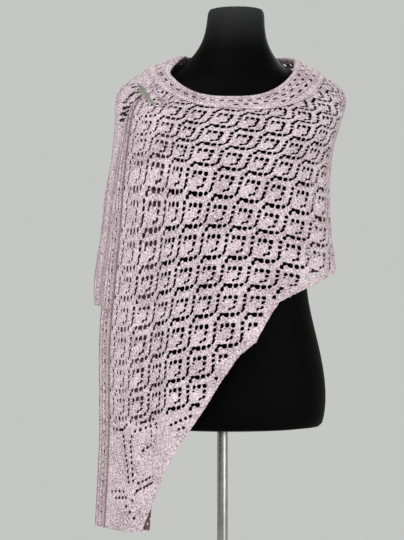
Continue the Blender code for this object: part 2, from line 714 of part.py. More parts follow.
def main():
    clear_scene()
    parts = new_collection("knitted_shawl")
    cutters = new_collection("cutters")
    wool = make_material("pink_wool", (0.69, 0.55, 0.59), 0.9, 0.0)
    jersey = make_material("black_form", (0.006, 0.006, 0.007), 0.55, 0.0)
    steel = make_material("brushed_steel", (0.45, 0.44, 0.43), 0.3, 1.0)
    silver = make_material("pin_silver", (0.55, 0.56, 0.52), 0.3, 1.0)

    make_lace("shawl_front", EDGE_COLUMN, SIDE_COLUMN - SIDE_GAP, HOLE_COLUMNS, front_lift, wool, parts)
    make_lace("shawl_back", SIDE_COLUMN + SIDE_GAP, LAST_COLUMN, BACK_HOLE_COLUMNS, no_lift, wool, parts)
    make_tail_fold(wool, parts)
    make_collar("collar_front", COLLAR_SEAM_LEFT, COLLAR_SEAM_RIGHT, wool, parts)
    make_collar("collar_back", COLLAR_SEAM_RIGHT, COLLAR_SEAM_LEFT + 360, wool, parts)
    make_pin(silver, parts)
    make_torso(jersey, parts, cutters)
    make_stand(steel, parts)


main()
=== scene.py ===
"""The looks of a knitted lace shawl worn on a limbless dress form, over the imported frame.

Metres, +Z up, the front faces -Y. The cloth follows one draped surface, whose points are named by
their turn round the form and by a ring number that grows downwards. The lace is laid on it by
column and row numbers, one for each repeat of the leaf pattern.
"""
import json
import logging
import math
from dataclasses import dataclass, field
from enum import Enum
from typing import Callable, Iterable, Sequence

import bpy
import numpy as np
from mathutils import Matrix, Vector

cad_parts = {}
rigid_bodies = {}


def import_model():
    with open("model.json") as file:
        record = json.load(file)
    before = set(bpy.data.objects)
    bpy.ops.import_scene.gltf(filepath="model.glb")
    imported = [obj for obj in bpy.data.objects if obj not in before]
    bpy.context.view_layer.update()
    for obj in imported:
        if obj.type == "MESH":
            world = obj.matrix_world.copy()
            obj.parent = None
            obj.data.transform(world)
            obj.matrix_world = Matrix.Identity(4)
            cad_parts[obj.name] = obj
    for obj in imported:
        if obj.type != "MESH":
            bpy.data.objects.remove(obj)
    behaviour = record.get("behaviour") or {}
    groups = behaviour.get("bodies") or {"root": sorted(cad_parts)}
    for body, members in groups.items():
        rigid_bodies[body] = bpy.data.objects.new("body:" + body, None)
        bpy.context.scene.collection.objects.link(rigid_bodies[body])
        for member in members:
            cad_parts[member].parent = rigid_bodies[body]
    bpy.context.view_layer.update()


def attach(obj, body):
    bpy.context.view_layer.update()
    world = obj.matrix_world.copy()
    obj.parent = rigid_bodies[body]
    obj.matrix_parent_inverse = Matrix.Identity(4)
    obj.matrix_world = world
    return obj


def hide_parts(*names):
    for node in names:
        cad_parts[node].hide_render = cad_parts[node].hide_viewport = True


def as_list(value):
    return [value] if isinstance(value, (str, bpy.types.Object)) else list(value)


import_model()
log = logging.getLogger("shawl")

Array = np.ndarray
Place = Callable[[Array, Array], Array]


def ease(value: Array | float) -> Array:
    """A smooth step from 0 to 1."""
    value = np.clip(value, 0.0, 1.0)
    return value * value * (3 - 2 * value)


def smooth_rows(rows: Array, place: Array | float) -> Array:
    """Read a table between its rows, on a smooth curve through them.

    Args:
        rows: the table, one row a line.
        place: row numbers, whole or not.

    Returns:
        One line of the table for each place.
    """
    last = len(rows) - 1
    place = np.clip(np.asarray(place, float), 0, last)
    index = np.clip(np.floor(place).astype(int), 0, last - 1)
    share = (place - index)[..., None]
    here, after = rows[index], rows[index + 1]
    before = np.where((index > 0)[..., None], rows[np.maximum(index - 1, 0)], 2 * here - after)
    beyond = np.where((index < last - 1)[..., None], rows[np.minimum(index + 2, last)], 2 * after - here)
    leave, arrive = (after - before) / 2, (beyond - here) / 2
    square = 3 * (after - here) - 2 * leave - arrive
    cube = 2 * (here - after) + leave + arrive
    return here + share * (leave + share * (square + share * cube))


class Val:
    """A shader value whose maths is written as Python expressions."""

    def __init__(self, graph: "Graph", socket: bpy.types.NodeSocket) -> None:
        """Wrap a socket of a graph."""
        self.graph = graph
        self.socket = socket

    def maths(self, operation: str, *others: "Val | float", flip: bool = False) -> "Val":
        """Add a Math node.

        Args:
            operation: the node's operation.
            others: the further operands.
            flip: whether this value is the second operand.

        Returns:
            The node's result.
        """
        operands = [self, *others]
        if flip:
            operands.reverse()
        node = self.graph.node("ShaderNodeMath", {"operation": operation}, dict(enumerate(operands)))
        return Val(self.graph, node.outputs[0])

    def __add__(self, other: "Val | float") -> "Val":
        """Sum."""
        return self.maths("ADD", other)

    __radd__ = __add__

    def __mul__(self, other: "Val | float") -> "Val":
        """Product."""
        return self.maths("MULTIPLY", other)

    __rmul__ = __mul__

    def __sub__(self, other: "Val | float") -> "Val":
        """Difference."""
        return self.maths("SUBTRACT", other)

    def __rsub__(self, other: float) -> "Val":
        """Difference from a number."""
        return self.maths("SUBTRACT", other, flip=True)

    def __abs__(self) -> "Val":
        """Size without sign."""
        return self.maths("ABSOLUTE")

    def part(self) -> "Val":
        """What stands after the point."""
        return self.maths("FRACT")

    def wave(self) -> "Val":
        """A wave from 0 to 1, one for each whole number."""
        return (self * (2 * math.pi)).maths("COSINE") * 0.5 + 0.5

    def clamp(self) -> "Val":
        """The value held between 0 and 1."""
        node = self.graph.node("ShaderNodeClamp", {}, {"Value": self})
        return Val(self.graph, node.outputs[0])


class Graph:
    """The node tree of a new material."""

    def __init__(self, name: str) -> None:
        """Start a material with only an output and a Principled shader."""
        self.material = bpy.data.materials.new(name)
        self.material.use_nodes = True
        self.tree = self.material.node_tree
        self.shader = self.tree.nodes["Principled BSDF"]

    def put(self, socket: bpy.types.NodeSocket, value: object) -> None:
        """Link or set one input.

        Args:
            socket: the input.
            value: a value, an output to link, or a plain setting.
        """
        if isinstance(value, Val):
            value = value.socket
        if isinstance(value, bpy.types.NodeSocket):
            self.tree.links.new(value, socket)
        else:
            socket.default_value = value

    def node(self, kind: str, settings: dict, inputs: dict) -> bpy.types.Node:
        """Add a node.

        Args:
            kind: the node's type.
            settings: its own values, set first.
            inputs: socket name or number to value or link.

        Returns:
            The node.
        """
        node = self.tree.nodes.new(kind)
        for name, value in settings.items():
            setattr(node, name, value)
        for name, value in inputs.items():
            self.put(node.inputs[name], value)
        return node

    def value(self, kind: str, settings: dict, inputs: dict, output: str | int = 0) -> Val:
        """Add a node and return one of its outputs as a value."""
        return Val(self, self.node(kind, settings, inputs).outputs[output])

    def coords(self) -> bpy.types.NodeSocket:
        """Object coordinates."""
        return self.node("ShaderNodeTexCoord", {}, {}).outputs["Object"]

    def stretched(self, scale: Sequence[float]) -> bpy.types.NodeSocket:
        """Object coordinates times a scale along each axis."""
        mapping = self.node("ShaderNodeMapping", {}, {"Vector": self.coords(), "Scale": tuple(scale)})
        return mapping.outputs[0]

    def noise(self, scale: float, detail: float = 2.0, vector: object = None) -> Val:
        """Noise between 0 and 1.

        Args:
            scale: how fine it is.
            detail: how many octaves.
            vector: where it is read, or None for object coordinates.

        Returns:
            The noise.
        """
        place = self.coords() if vector is None else vector
        inputs = {"Vector": place, "Scale": scale, "Detail": detail}
        return self.value("ShaderNodeTexNoise", {}, inputs, "Fac")

    def blend(self, factor: Val, first: Sequence[float], second: Sequence[float]) -> bpy.types.NodeSocket:
        """Mix two colours by a value."""
        inputs = {0: factor, 6: (*first, 1.0), 7: (*second, 1.0)}
        return self.node("ShaderNodeMix", {"data_type": "RGBA"}, inputs).outputs[2]

    def shade(self, colour: bpy.types.NodeSocket, factor: Val, tint: Sequence[float]) -> bpy.types.NodeSocket:
        """Mix a linked colour towards a tint by a value."""
        inputs = {0: factor, 6: colour, 7: (*tint, 1.0)}
        return self.node("ShaderNodeMix", {"data_type": "RGBA"}, inputs).outputs[2]

    def bump(self, height: Val, distance: float, strength: float) -> None:
        """Feed a height to the shader's normal."""
        settings = {"Height": height, "Distance": distance, "Strength": strength}
        self.put(self.shader.inputs["Normal"], self.node("ShaderNodeBump", {}, settings).outputs[0])

    def set(self, **values: object) -> None:
        """Set or link the shader's inputs, named with _ for each space."""
        for name, value in values.items():
            self.put(self.shader.inputs[name.replace("_", " ")], value)


@dataclass(frozen=True)
class WoolFinish:
    """Pale pink hand-knitted wool: rows of stitches, flecked at random, with painted shade between the
    stitches, in pinholes and in creases.
    """

    name: str = "pink_wool"
    light: tuple[float, float, float] = (0.90, 0.80, 0.85)
    # deep: the dark end of the tone, reached by random flecks and patches and by painted shade between
    # stitches and in pinholes
    deep: tuple[float, float, float] = (0.27, 0.165, 0.205)
    tint: tuple[float, float, float] = (0.88, 0.73, 0.79)
    # groove: the colour of painted shade in creases and pleats, under the collar and on hidden sides seen
    # through the lace
    groove: tuple[float, float, float] = (0.13, 0.050, 0.068)
    relief: float = 0.0010
    repeat: tuple[float, float] = (10.0, 22.0)
    # Pinholes: dots of painted shade where the lace has holes too small to cut
    pinhole_size: tuple[float, float] = (0.034, 0.029)
    pinhole_painted_shade: float = 2.2
    pinholes: tuple[tuple[float, float], ...] = (
        (0.07, 0.10), (0.08, 0.29), (0.30, 0.83), (0.50, 0.83), (0.70, 0.80), (0.36, 0.16), (0.57, 0.17),
        (0.09, 0.66), (0.86, 0.55), (0.72, 0.35), (0.93, 0.90),
    )

    def material(self) -> bpy.types.Material:
        """Build the material. It reads the stitches map and the painted shade of grooves, pleats, cloth under
        the collar and hidden sides.
        """
        graph = Graph(self.name)
        stitches = graph.node("ShaderNodeUVMap", {"uv_map": "stitches"}, {})
        split = graph.node("ShaderNodeSeparateXYZ", {}, {0: stitches.outputs[0]})
        across, down = Val(graph, split.outputs[0]), Val(graph, split.outputs[1])
        # shade: how much painted shade each point of the cloth gets
        shade = graph.value("ShaderNodeAttribute", {"attribute_name": "shade"}, {}, "Fac")
        side = abs(across.part() - 0.5) * 2.0
        leg = 1.0 - abs(side * 2.0 - 1.0)
        slant = (down + side * 0.55 + graph.noise(95.0, 2.0) * 0.5).wave()
        height = (leg.maths("POWER", 0.6) * (slant * 0.65 + 0.35)).clamp()
        fleck = graph.noise(420.0, 2.0)
        patch = graph.noise(26.0, 3.0)
        # Tone: painted shade between the stitch legs, from their height, plus random flecks and patches
        tone = height * 0.35 + fleck * 3.0 + patch * 0.5 - 1.40
        # Painted shade: darken the tone at each pinhole
        for u, v in self.pinholes:
            aside = ((across * (1 / self.repeat[0]) - u + 0.5).part() - 0.5) * (1 / self.pinhole_size[0])
            above = ((down * (1 / self.repeat[1]) - v + 0.5).part() - 0.5) * (1 / self.pinhole_size[1])
            tone = tone - (1.0 - (aside * aside + above * above)).clamp() * self.pinhole_painted_shade
        colour = graph.blend(tone.clamp(), self.deep, self.light)
        colour = graph.shade(colour, (patch * 1.6 - 0.6).clamp() * 0.4, self.tint)
        # Painted shade: mix towards the groove tint where the shade attribute says
        colour = graph.shade(colour, shade.clamp(), self.groove)
        graph.set(Base_Color=colour, Roughness=0.95, Sheen_Weight=0.1, Specular_IOR_Level=0.1)
        graph.bump(height * 0.8 + fleck * 0.6, self.relief, 0.9)
        return graph.material


@dataclass(frozen=True)
class JerseyFinish:
    """Fine black jersey stretched over a smooth form, with a painted sheen that lightens the top of the neck.
    """

    name: str = "black_jersey"
    dark: tuple[float, float, float] = (0.0004, 0.0004, 0.0005)
    worn: tuple[float, float, float] = (0.0010, 0.0010, 0.0011)
    neck_sheen: tuple[float, float, float] = (0.040, 0.040, 0.042)
    neck: tuple[float, float] = (1.505, 1.60)

    def material(self) -> bpy.types.Material:
        """Build the material."""
        graph = Graph(self.name)
        split = graph.node("ShaderNodeSeparateXYZ", {}, {0: graph.coords()})
        rise = (Val(graph, split.outputs[2]) - self.neck[0]) * (1 / (self.neck[1] - self.neck[0]))
        rib = graph.noise(1.0, 1.0, graph.stretched((1500.0, 1500.0, 260.0)))
        patch = graph.noise(7.0, 3.0)
        colour = graph.blend((patch * 1.4 - 0.3).clamp(), self.dark, self.worn)
        # Painted sheen: paler towards the top of the neck
        colour = graph.shade(colour, rise.clamp().maths("POWER", 1.6), self.neck_sheen)
        graph.set(Base_Color=colour, Roughness=patch * 0.10 + 0.50, Specular_IOR_Level=0.035)
        graph.bump(rib, 0.00012, 0.35)
        return graph.material


@dataclass(frozen=True)
class MetalFinish:
    """Bare metal, drawn along one axis and slightly worn."""

    name: str
    light: tuple[float, float, float]
    dull: tuple[float, float, float]
    roughness: float
    grain: tuple[float, float, float]
    dents: float

    def material(self) -> bpy.types.Material:
        """Build the material."""
        graph = Graph(self.name)
        lines = graph.noise(1.0, 2.0, graph.stretched(self.grain))
        patch = graph.noise(60.0, 3.0)
        graph.set(Base_Color=graph.blend((lines * 0.7 + patch * 0.5 - 0.1).clamp(), self.dull, self.light))
        graph.set(Roughness=lines * 0.08 + patch * 0.10 + (self.roughness - 0.09), Metallic=1.0)
        graph.bump(lines * 0.3 + graph.noise(240.0, 2.0), self.dents, 0.4)
        return graph.material


@dataclass(frozen=True)
class PlainFinish:
    """A plain matt surface for the floor."""

    name: str
    colour: tuple[float, float, float]

    def material(self) -> bpy.types.Material:
        """Build the material."""
        graph = Graph(self.name)
        graph.set(Base_Color=(*self.colour, 1.0), Roughness=0.9, Specular_IOR_Level=0.1)
        return graph.material


@dataclass(frozen=True)
class Ring:
    """One ring of the draped surface."""

    front_z: float
    side_z: float
    back_z: float
    left_x: float
    right_x: float
    front_y: float
    back_y: float

    def line(self) -> tuple[float, ...]:
        """Its sizes as a table row."""
        return (self.front_z, self.side_z, self.back_z, self.left_x, self.right_x, self.front_y, self.back_y)


@dataclass(frozen=True)
class Fold:
    """A soft fold: turn and width in degrees, depth outwards, first and last ring."""

    turn: float
    width: float
    depth: float
    first: float
    last: float


@dataclass
class Drape:
    """The surface that the shawl follows round the form."""

    fullness: float = 0.035
    neck_rings: float = 1.4
    neck_turns: tuple[float, float, float, float] = (62.0, 95.0, 110.0, 175.0)
    neck_left: float = 0.034
    neck_right: float = -0.007
    neck_rise: float = 0.018
    halvings: int = 18
    steps: int = 20
    step_share: float = 0.4
    rings: tuple[Ring, ...] = (
        Ring(1.423, 1.481, 1.502, -0.098, 0.127, 0.088, 0.072),
        Ring(1.407, 1.479, 1.486, -0.126, 0.152, 0.098, 0.084),
        Ring(1.389, 1.465, 1.463, -0.154, 0.181, 0.109, 0.095),
        Ring(1.368, 1.447, 1.434, -0.175, 0.206, 0.120, 0.104),
        Ring(1.345, 1.422, 1.402, -0.181, 0.215, 0.129, 0.111),
        Ring(1.318, 1.382, 1.362, -0.183, 0.204, 0.136, 0.116),
        Ring(1.288, 1.328, 1.314, -0.188, 0.191, 0.139, 0.119),
        Ring(1.250, 1.262, 1.258, -0.199, 0.187, 0.141, 0.121),
        Ring(1.190, 1.190, 1.190, -0.207, 0.190, 0.141, 0.122),
        Ring(1.120, 1.120, 1.120, -0.218, 0.199, 0.140, 0.122),
        Ring(1.040, 1.040, 1.040, -0.226, 0.203, 0.138, 0.121),
        Ring(0.950, 0.950, 0.950, -0.225, 0.205, 0.136, 0.120),
        Ring(0.850, 0.850, 0.850, -0.223, 0.206, 0.133, 0.118),
        Ring(0.750, 0.750, 0.750, -0.226, 0.206, 0.130, 0.116),
        Ring(0.650, 0.650, 0.650, -0.230, 0.206, 0.127, 0.114),
    )
    folds: tuple[Fold, ...] = (
        Fold(-39, 4.0, 0.0045, 4.0, 14.0),
        Fold(-30, 4.5, -0.0040, 4.5, 14.0),
        Fold(-21, 5.0, 0.0035, 5.0, 13.0),
        Fold(20, 9.0, -0.0030, 6.0, 12.0),
        Fold(62, 7.0, 0.0040, 3.0, 9.0),
        Fold(104, 7.0, -0.0050, 3.0, 10.0),
        Fold(126, 8.0, 0.0060, 2.5, 10.0),
        Fold(150, 9.0, -0.0050, 3.0, 10.0),
        Fold(181, 9.0, 0.0060, 2.5, 10.0),
        Fold(208, 9.0, -0.0050, 3.5, 10.0),
        Fold(232, 7.0, 0.0060, 2.5, 10.0),
        Fold(252, 5.0, -0.0060, 3.0, 10.0),
        Fold(265, 5.0, 0.0060, 2.5, 10.0),
        Fold(277, 4.0, -0.0060, 3.0, 10.0),
        Fold(287, 4.0, 0.0050, 3.0, 10.0),
    )
    table: Array = field(init=False)

    def __post_init__(self) -> None:
        """Make the ring table."""
        self.table = np.array([ring.line() for ring in self.rings])

    def sizes(self, ring: Array) -> Array:
        """The sizes of a ring, one array for each."""
        return np.moveaxis(smooth_rows(self.table, ring), -1, 0)

    def fold_depth(self, turn: Array, ring: Array) -> Array:
        """How far the folds move the cloth outwards.

        Args:
            turn: turns round the form, in radians.
            ring: ring numbers.

        Returns:
            The depth at each point, in metres.
        """
        degrees = np.degrees(turn)
        total = np.zeros(np.broadcast(turn, ring).shape)
        for fold in self.folds:
            shape = np.exp(-((degrees - fold.turn) / fold.width) ** 2)
            total = total + fold.depth * shape * ease(ring - fold.first) * ease(fold.last - ring)
        return total

    def neck_share(self, turn: Array, ring: Array) -> Array:
        """How far the neckline closes in on the neck, signed by its side.

        Args:
            turn: turns round the form, in radians.
            ring: ring numbers.

        Returns:
            The share, above 0 on the right.
        """
        around = np.degrees(np.arctan2(np.sin(turn), np.cos(turn)))
        start, full, fade, end = self.neck_turns
        size = np.abs(around)
        shape = ease((size - start) / (full - start)) * (1 - ease((size - fade) / (end - fade)))
        return np.sign(around) * shape * np.clip(1 - ring / self.neck_rings, 0, 1) ** 2

    def bare(self, turn: Array, ring: Array) -> Array:
        """A point of the surface without its folds.

        Args:
            turn: turns round the form, in radians.
            ring: ring numbers.

        Returns:
            The points.
        """
        front_z, side_z, back_z, left, right, front, back = self.sizes(ring)
        across, ahead = np.sin(turn), np.cos(turn)
        full = 1 + self.fullness * np.sin(2 * turn) ** 2
        end_z = np.where(ahead > 0, front_z, back_z)
        x = (left + right) / 2 + (right - left) / 2 * across * full
        y = -np.where(ahead > 0, front, back) * ahead * full
        z = side_z + (end_z - side_z) * (1 - np.abs(across) ** 3)
        neck = self.neck_share(turn, ring)
        x = x + np.maximum(neck, 0) * self.neck_right + np.maximum(-neck, 0) * self.neck_left
        return np.stack([x, y, z + np.abs(neck) * self.neck_rise], -1)

    def point(self, turn: Array, ring: Array, out: Array | float = 0.0) -> Array:
        """A point of the draped cloth, moved out along the surface's normal.

        Args:
            turn: turns round the form, in radians.
            ring: ring numbers.
            out: how far out, in metres.

        Returns:
            The points.
        """
        turn, ring = np.broadcast_arrays(np.asarray(turn, float), np.asarray(ring, float))
        step = 0.01
        along = self.bare(turn + step, ring) - self.bare(turn - step, ring)
        low = np.clip(ring - step, 0, len(self.rings) - 1 - 2 * step)
        down = self.bare(turn, low + 2 * step) - self.bare(turn, low)
        normal = np.cross(down, along)
        normal /= np.linalg.norm(normal, axis=-1, keepdims=True)
        return self.bare(turn, ring) + normal * (self.fold_depth(turn, ring) + out)[..., None]

    def ring_of_height(self, turn: Array, height: Array) -> Array:
        """The ring at which the surface has a height.

        Args:
            turn: turns round the form, in radians.
            height: heights, in metres.

        Returns:
            The rings.
        """
        low = np.zeros(np.broadcast(turn, height).shape)
        high = low + len(self.rings) - 1.0
        for _ in range(self.halvings):
            middle = (low + high) / 2
            is_below = self.bare(turn, middle)[..., 2] < height
            high = np.where(is_below, middle, high)
            low = np.where(is_below, low, middle)
        return (low + high) / 2

    def ellipse(self, ring: Array) -> tuple[Array, Array]:
        """Mean radius and flatness of a ring.

        Args:
            ring: ring numbers.

        Returns:
            Both, one of each for a ring.
        """
        _, _, _, left, right, front, back = self.sizes(ring)
        half_width, depth = (right - left) / 2, (front + back) / 2
        return (half_width + depth) / 2, (half_width - depth) / (half_width + depth)

    def turn_of_way(self, way: Array, ring: Array) -> Array:
        """The turn after a way along a ring from the front middle.

        Args:
            way: the way, in metres.
            ring: ring numbers.

        Returns:
            The turns.
        """
        radius, flat = self.ellipse(ring)
        even = way / radius
        return even - flat / 2 * np.sin(2 * even) + flat * flat / 4 * np.sin(4 * even)

    def way_of_turn(self, turn: Array | float, ring: Array) -> Array:
        """The way along a ring to a turn."""
        radius, flat = self.ellipse(ring)
        return radius * (turn + flat / 2 * np.sin(2 * turn))

    def seek(self, height: Array, turn: Array, way: Callable[[Array], Array]) -> tuple[Array, Array]:
        """Find points from their height and from their way round, which may depend on the ring.

        Args:
            height: their heights.
            turn: a first guess.
            way: the way round at a ring.

        Returns:
            Their turns and rings.
        """
        for _ in range(self.steps):
            ring = self.ring_of_height(turn, height)
            turn = turn + (self.turn_of_way(way(ring), ring) - turn) * self.step_share
        return turn, ring


@dataclass(frozen=True)
class LaceRow:
    """One row of the lace on the front.

    level is its height at the middle column, start the way round to that column, groove the way
    round to the free left edge, pitch the width of a repeat, tilt and bend how the row climbs.
    """

    row: float
    level: float
    start: float
    groove: float
    pitch: float
    tilt: float
    bend: float

    def line(self) -> tuple[float, ...]:
        """Its sizes as a table row."""
        return (self.row, self.level, self.start, self.groove, self.pitch, self.tilt, self.bend)


@dataclass
class LacePlan:
    """Where the columns and rows of the lace lie on the draped surface."""

    drape: Drape
    edge_column: float = -0.3
    middle_column: float = 3.0
    side_column: float = 10.0
    last_column: float = 22.0
    tilt_reach: float = 5.5
    back_top: float = 1.500
    back_pitch: float = 0.038
    first_row: float = -4.0
    end_row: float = 17.0
    end_gap: float = 0.0020
    fold_width: float = 0.034
    fold_start: tuple[float, float] = (2.0, 0.85)
    fold_full: tuple[float, float] = (3.0, 6.0)
    fold_upper_share: float = 0.37
    back_blend: float = 4.0
    back_sink: float = 0.030
    halvings: int = 18
    seam_ring: float = 0.47
    back_hem: tuple[float, float] = (1.133, 1.064)
    rows: tuple[LaceRow, ...] = (
        LaceRow(-4, 1.510, 0.020, -0.112, 0.034, -0.0070, 0.0000),
        LaceRow(-2, 1.468, 0.005, -0.132, 0.038, -0.0070, 0.0000),
        LaceRow(0, 1.421, -0.012, -0.156, 0.043, -0.0070, 0.0000),
        LaceRow(1, 1.395, -0.028, -0.171, 0.046, -0.0065, 0.0000),
        LaceRow(2, 1.365, -0.051, -0.173, 0.050, -0.0070, 0.0000),
        LaceRow(3, 1.334, -0.065, -0.171, 0.051, -0.0072, 0.0000),
        LaceRow(4, 1.297, -0.062, -0.168, 0.047, -0.0070, 0.0002),
        LaceRow(5, 1.241, -0.058, -0.164, 0.040, -0.0015, 0.0011),
        LaceRow(6, 1.184, -0.063, -0.166, 0.036, 0.0050, 0.0018),
        LaceRow(7, 1.128, -0.069, -0.170, 0.035, 0.0070, 0.0019),
        LaceRow(8, 1.076, -0.073, -0.173, 0.033, 0.0070, 0.0014),
        LaceRow(10, 0.973, -0.085, -0.181, 0.035, 0.0080, 0.0010),
        LaceRow(12, 0.879, -0.088, -0.183, 0.036, 0.0080, 0.0010),
        LaceRow(14, 0.785, -0.090, -0.185, 0.036, 0.0060, 0.0008),
        LaceRow(17, 0.645, -0.090, -0.190, 0.036, 0.0040, 0.0006),
    )
    hem: tuple[tuple[float, float], ...] = (
        (-0.210, 0.690),
        (-0.150, 0.682),
        (-0.124, 0.684),
        (-0.117, 0.705),
        (-0.099, 0.761),
        (-0.065, 0.831),
        (-0.021, 0.895),
        (0.005, 0.938),
        (0.036, 0.982),
        (0.065, 1.005),
        (0.090, 1.050),
        (0.104, 1.073),
        (0.152, 1.097),
        (0.187, 1.111),
        (0.262, 1.133),
    )
    table: Array = field(init=False)

    def __post_init__(self) -> None:
        """Make the row table."""
        self.table = np.array([row.line() for row in self.rows])

    def groove(self, height: Array | float) -> Array:
        """Way round from the front middle to the front's free edge."""
        return np.interp(-np.asarray(height), -self.table[:, 1], self.table[:, 3])

    def fold_shows(self, ring: Array) -> Array:
        """How far the tail fold shows beyond the groove.

        Args:
            ring: ring numbers.

        Returns:
            The width that shows, in metres.
        """
        start, start_rings = self.fold_start
        full, full_rings = self.fold_full
        share = self.fold_upper_share + (1 - self.fold_upper_share) * ease((ring - full) / full_rings)
        return self.fold_width * ease((ring - start) / start_rings) * share

    def place(self, column: Array, row: Array) -> tuple[Array, Array, Array, Array]:
        """Find a point of the lace.

        Args:
            column: column numbers.
            row: row numbers.

        Returns:
            Turn, ring, way round and height of each point.
        """
        column, row = np.broadcast_arrays(np.asarray(column, float), np.asarray(row, float))
        spot = np.interp(row, self.table[:, 0], np.arange(len(self.rows)))
        _, level, start, _, pitch, tilt, bend = np.moveaxis(smooth_rows(self.table, spot), -1, 0)
        past = column - self.middle_column
        climb = np.clip(past, -2.0, self.tilt_reach)
        front_height = level + tilt * climb - bend * np.maximum(climb, 0) ** 2
        back_height = self.back_top - self.back_pitch * (row - self.first_row)
        behind = ease((column - self.side_column) / self.back_blend)
        height = front_height + (back_height - front_height) * behind
        height = height - self.back_sink * ease((column - 16) / 6) * ease((row + 2) / 8)
        groove = self.groove(height)
        reach = self.side_column - self.middle_column
        share = (column - self.side_column) / (self.last_column - self.side_column)
        left_way = start + past * (start - groove) / (self.middle_column - self.edge_column)

        def way_at(ring: Array) -> Array:
            """The way round to each point at a ring."""
            side = self.drape.way_of_turn(math.pi / 2, ring)
            end = self.drape.way_of_turn(2 * math.pi, ring) + groove - self.fold_shows(ring) - self.end_gap
            widen = (side - start - pitch * reach) / reach ** 2
            right_way = start + pitch * past + widen * past ** 2
            back_way = side + (end - side) * share
            return np.where(past < 0, left_way, np.where(column < self.side_column, right_way, back_way))

        turn, ring = self.drape.seek(height, past * 0.25, way_at)
        return turn, ring, way_at(ring), height

    def hem_height(self, way: Array, column: Array) -> Array:
        """Height of the hem at a way round the front, or at a column of the back.

        Args:
            way: the way round, in metres.
            column: column numbers.

        Returns:
            The heights.
        """
        hem = np.array(self.hem)
        share = (column - self.side_column) / (self.last_column - self.side_column)
        back = self.back_hem[0] + (self.back_hem[1] - self.back_hem[0]) * share
        return np.where(column > self.side_column, back, np.interp(way, hem[:, 0], hem[:, 1]))

    def limits(self, columns: Array) -> tuple[Array, Array]:
        """First and last row of the lace in each column, at the collar and at the hem.

        Args:
            columns: column numbers.

        Returns:
            The first rows and the last rows.
        """
        found = []
        for is_hem in (False, True):
            low = np.full(len(columns), self.first_row)
            high = np.full(len(columns), self.end_row)
            for _ in range(self.halvings):
                middle = (low + high) / 2
                _, ring, way, height = self.place(columns, middle)
                is_past = height < self.hem_height(way, columns) if is_hem else ring > self.seam_ring
                high = np.where(is_past, middle, high)
                low = np.where(is_past, low, middle)
            found.append((low + high) / 2)
        return found[0], found[1]


class Size(Enum):
    """Half width and half height of a hole, as shares of a repeat."""

    BIG = (0.089, 0.086)
    MIDDLE = (0.076, 0.067)
    SMALL = (0.055, 0.050)
    FLAT = (0.150, 0.058)


@dataclass(frozen=True)
class Hole:
    """One hole of the lace: its place, half sizes and lean, as shares of a repeat."""

    across: float
    down: float
    size: Size
    lean: float = 0.0
    wide: float = 1.0
    tall: float = 1.0

    def moved(self, across: float, down: float, wide: float = 1.0, tall: float = 1.0) -> "Hole":
        """A copy in another repeat, opened more or less."""
        return Hole(self.across + across, self.down + down, self.size, self.lean,
                    self.wide * wide, self.tall * tall)


@dataclass(frozen=True)
class EyeletLine:
    """A line of eyelets from one column and row to another."""

    start: tuple[float, float]
    end: tuple[float, float]
    count: int
    size: Size = Size.SMALL
    lean: float = 0.0
    wide: float = 1.0
    tall: float = 1.0

    def holes(self) -> list[Hole]:
        """Its eyelets, evenly spaced."""
        shares = np.linspace(0.0, 1.0, self.count)
        across = self.start[0] + (self.end[0] - self.start[0]) * shares
        down = self.start[1] + (self.end[1] - self.start[1]) * shares
        return [Hole(float(a), float(d), self.size, self.lean, self.wide, self.tall)
                for a, d in zip(across, down)]


